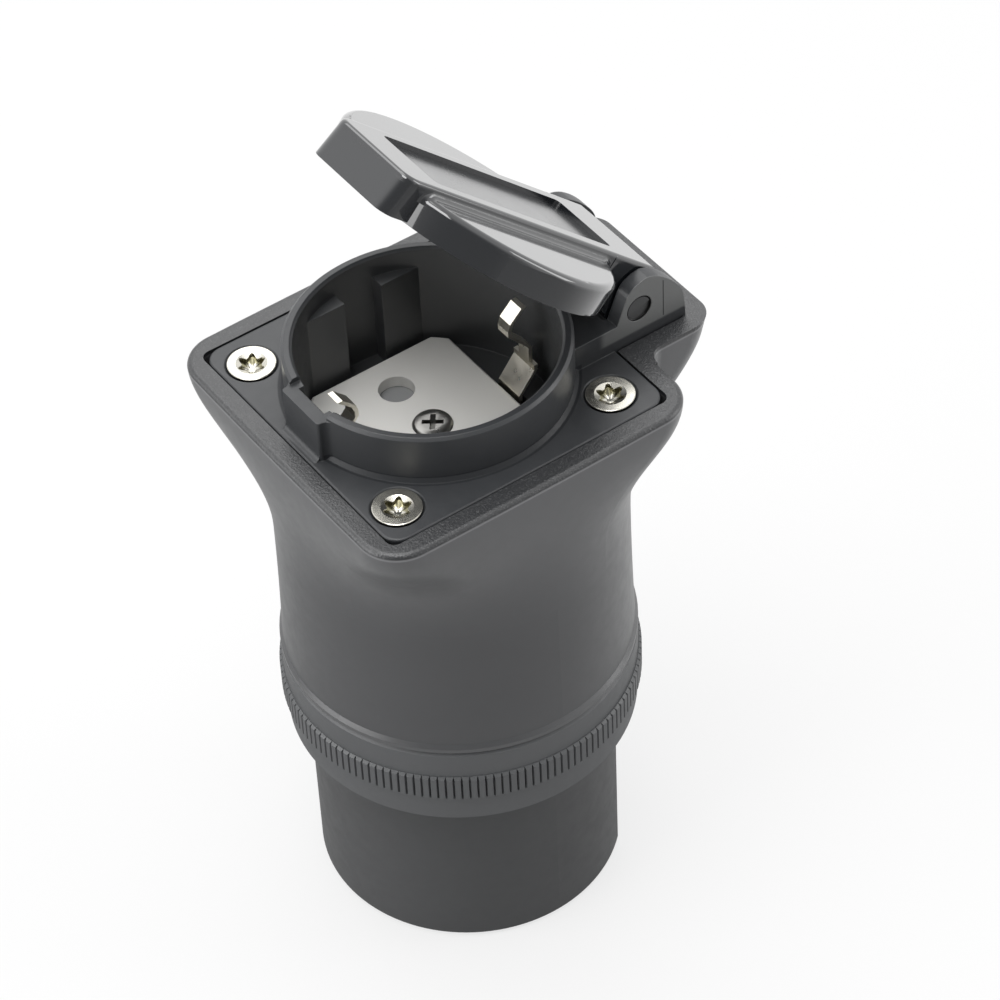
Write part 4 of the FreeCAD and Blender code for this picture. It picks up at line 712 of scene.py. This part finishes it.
def star_screw():
    """Countersunk screw with a flat ring, a bright dish and a six-lobe recess."""
    clear_selection()
    bpy.ops.mesh.primitive_cylinder_add(vertices=SCREW_SIDES, radius=SCREW_HEAD,
                                        depth=HEAD_BAND, location=(0, 0, HEAD_MIDDLE))
    screw = bpy.context.object
    open_for_editing(screw)
    bpy.ops.transform.rotate(value=math.radians(SIDE_ANGLE / 2), orient_axis="Z",
                             center_override=(0, 0, 0))
    pick_underside(screw)
    draw_out(-HEAD_CONE, SCREW_SHANK / SCREW_HEAD)
    draw_out(-SHANK_LENGTH)
    draw_out(-TIP_LENGTH, TIP_NARROWING)
    pick_top(screw)
    draw_out(0, 1.0 - HEAD_BEVEL / SCREW_HEAD)
    bpy.ops.transform.translate(value=(0, 0, HEAD_RISE))
    draw_out(0, DISH_EDGE / (SCREW_HEAD - HEAD_BEVEL))
    draw_out(0, STAR_POINT / DISH_EDGE)
    shape_star(screw)
    pick(screw, "faces", lambda f, m: f.normal.z > 0.5 and m.xy.length < 0.0001)
    draw_out(-STAR_DEPTH, 0.98)
    draw_out(-STAR_FLOOR_DROP, 0.3)
    close_editing()
    smooth_below(screw, SCREW_SMOOTHING)
    return screw


def place_star_screws(finish):
    first = star_screw()
    for number, ((side, end), turn) in enumerate(SCREW_TURNS.items(), start=1):
        screw = first.copy()
        screw.data = first.data.copy()
        screw.name = f"flange_screw_{number}"
        bpy.context.scene.collection.objects.link(screw)
        place = (SCREW_REACH * side, SOCKET_Y + SCREW_REACH * end, PLATE_TOP)
        settle_in_place(screw, place, turn)
        put_on(screw, finish)
        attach(screw, "adapter")
        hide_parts("flange_screws")
    bpy.data.objects.remove(first)


# The tile's screw, with Z = 0 at its head's upper edge

COVER_SIDES = 64
COVER_HEAD = 0.003
COVER_BAND = 0.0006
COVER_BAND_MIDDLE = -0.0006
COVER_SHANK = 0.0015
COVER_LENGTH = 0.0124
COVER_TIP = 0.0006
COVER_TIP_NARROWING = 0.75
COVER_STEPS = ((0.00014, 0.96), (0.00012, 0.92))
COVER_SMOOTHING = 28
CROSS_BAR = (0.0047, 0.00105, 0.0022)
CROSS_TAPER = (0.42, 0.62, 1)
CROSS_TURNS = (53.0, 143.0)


def cross_cutter(turn):
    """One tapered bar of the cross recess, deeper at its middle."""
    clear_selection()
    bpy.ops.mesh.primitive_cube_add(size=1.0, location=(0, 0, 0))
    bar = bpy.context.object
    open_for_editing(bar)
    bpy.ops.mesh.select_all(action="SELECT")
    bpy.ops.transform.resize(value=CROSS_BAR, center_override=(0, 0, 0))
    pick_underside(bar)
    bpy.ops.transform.resize(value=CROSS_TAPER, center_override=(0, 0, 0))
    close_editing()
    bar.rotation_euler = (0, 0, math.radians(turn))
    return bar


def cover_screw(finish):
    """Pan-head screw with a stepped edge and a cross recess."""
    clear_selection()
    bpy.ops.mesh.primitive_cylinder_add(vertices=COVER_SIDES, radius=COVER_HEAD,
                                        depth=COVER_BAND, location=(0, 0, COVER_BAND_MIDDLE))
    screw = bpy.context.object
    screw.name = "cover_cross_screw"
    open_for_editing(screw)
    pick_underside(screw)
    draw_out(0, COVER_SHANK / COVER_HEAD)
    draw_out(-COVER_LENGTH)
    draw_out(-COVER_TIP, COVER_TIP_NARROWING)
    pick_top(screw)
    for rise, narrowing in COVER_STEPS:
        draw_out(rise, narrowing)
    close_editing()
    for turn in CROSS_TURNS:
        bar = cross_cutter(turn)
        cut = screw.modifiers.new("recess", "BOOLEAN")
        cut.object = bar
        cut.operation = "DIFFERENCE"
        choose(screw)
        bpy.ops.object.modifier_apply(modifier="recess")
        bpy.data.objects.remove(bar)
    smooth_below(screw, COVER_SMOOTHING)
    settle_in_place(screw, (0, SOCKET_Y, COVER_HEAD_TOP), 0.0)
    put_on(screw, finish)
    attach(screw, "adapter")
    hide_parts("cover_screw")


place_camera()
light_world()
lay_floor()
for lamp_name, lamp_values in LAMPS.items():
    soft_light(lamp_name, *lamp_values)
coat_parts()
place_star_screws(screw_finish())
cover_screw(small_screw_finish())

bpy.context.scene.view_settings.view_transform = "Standard"
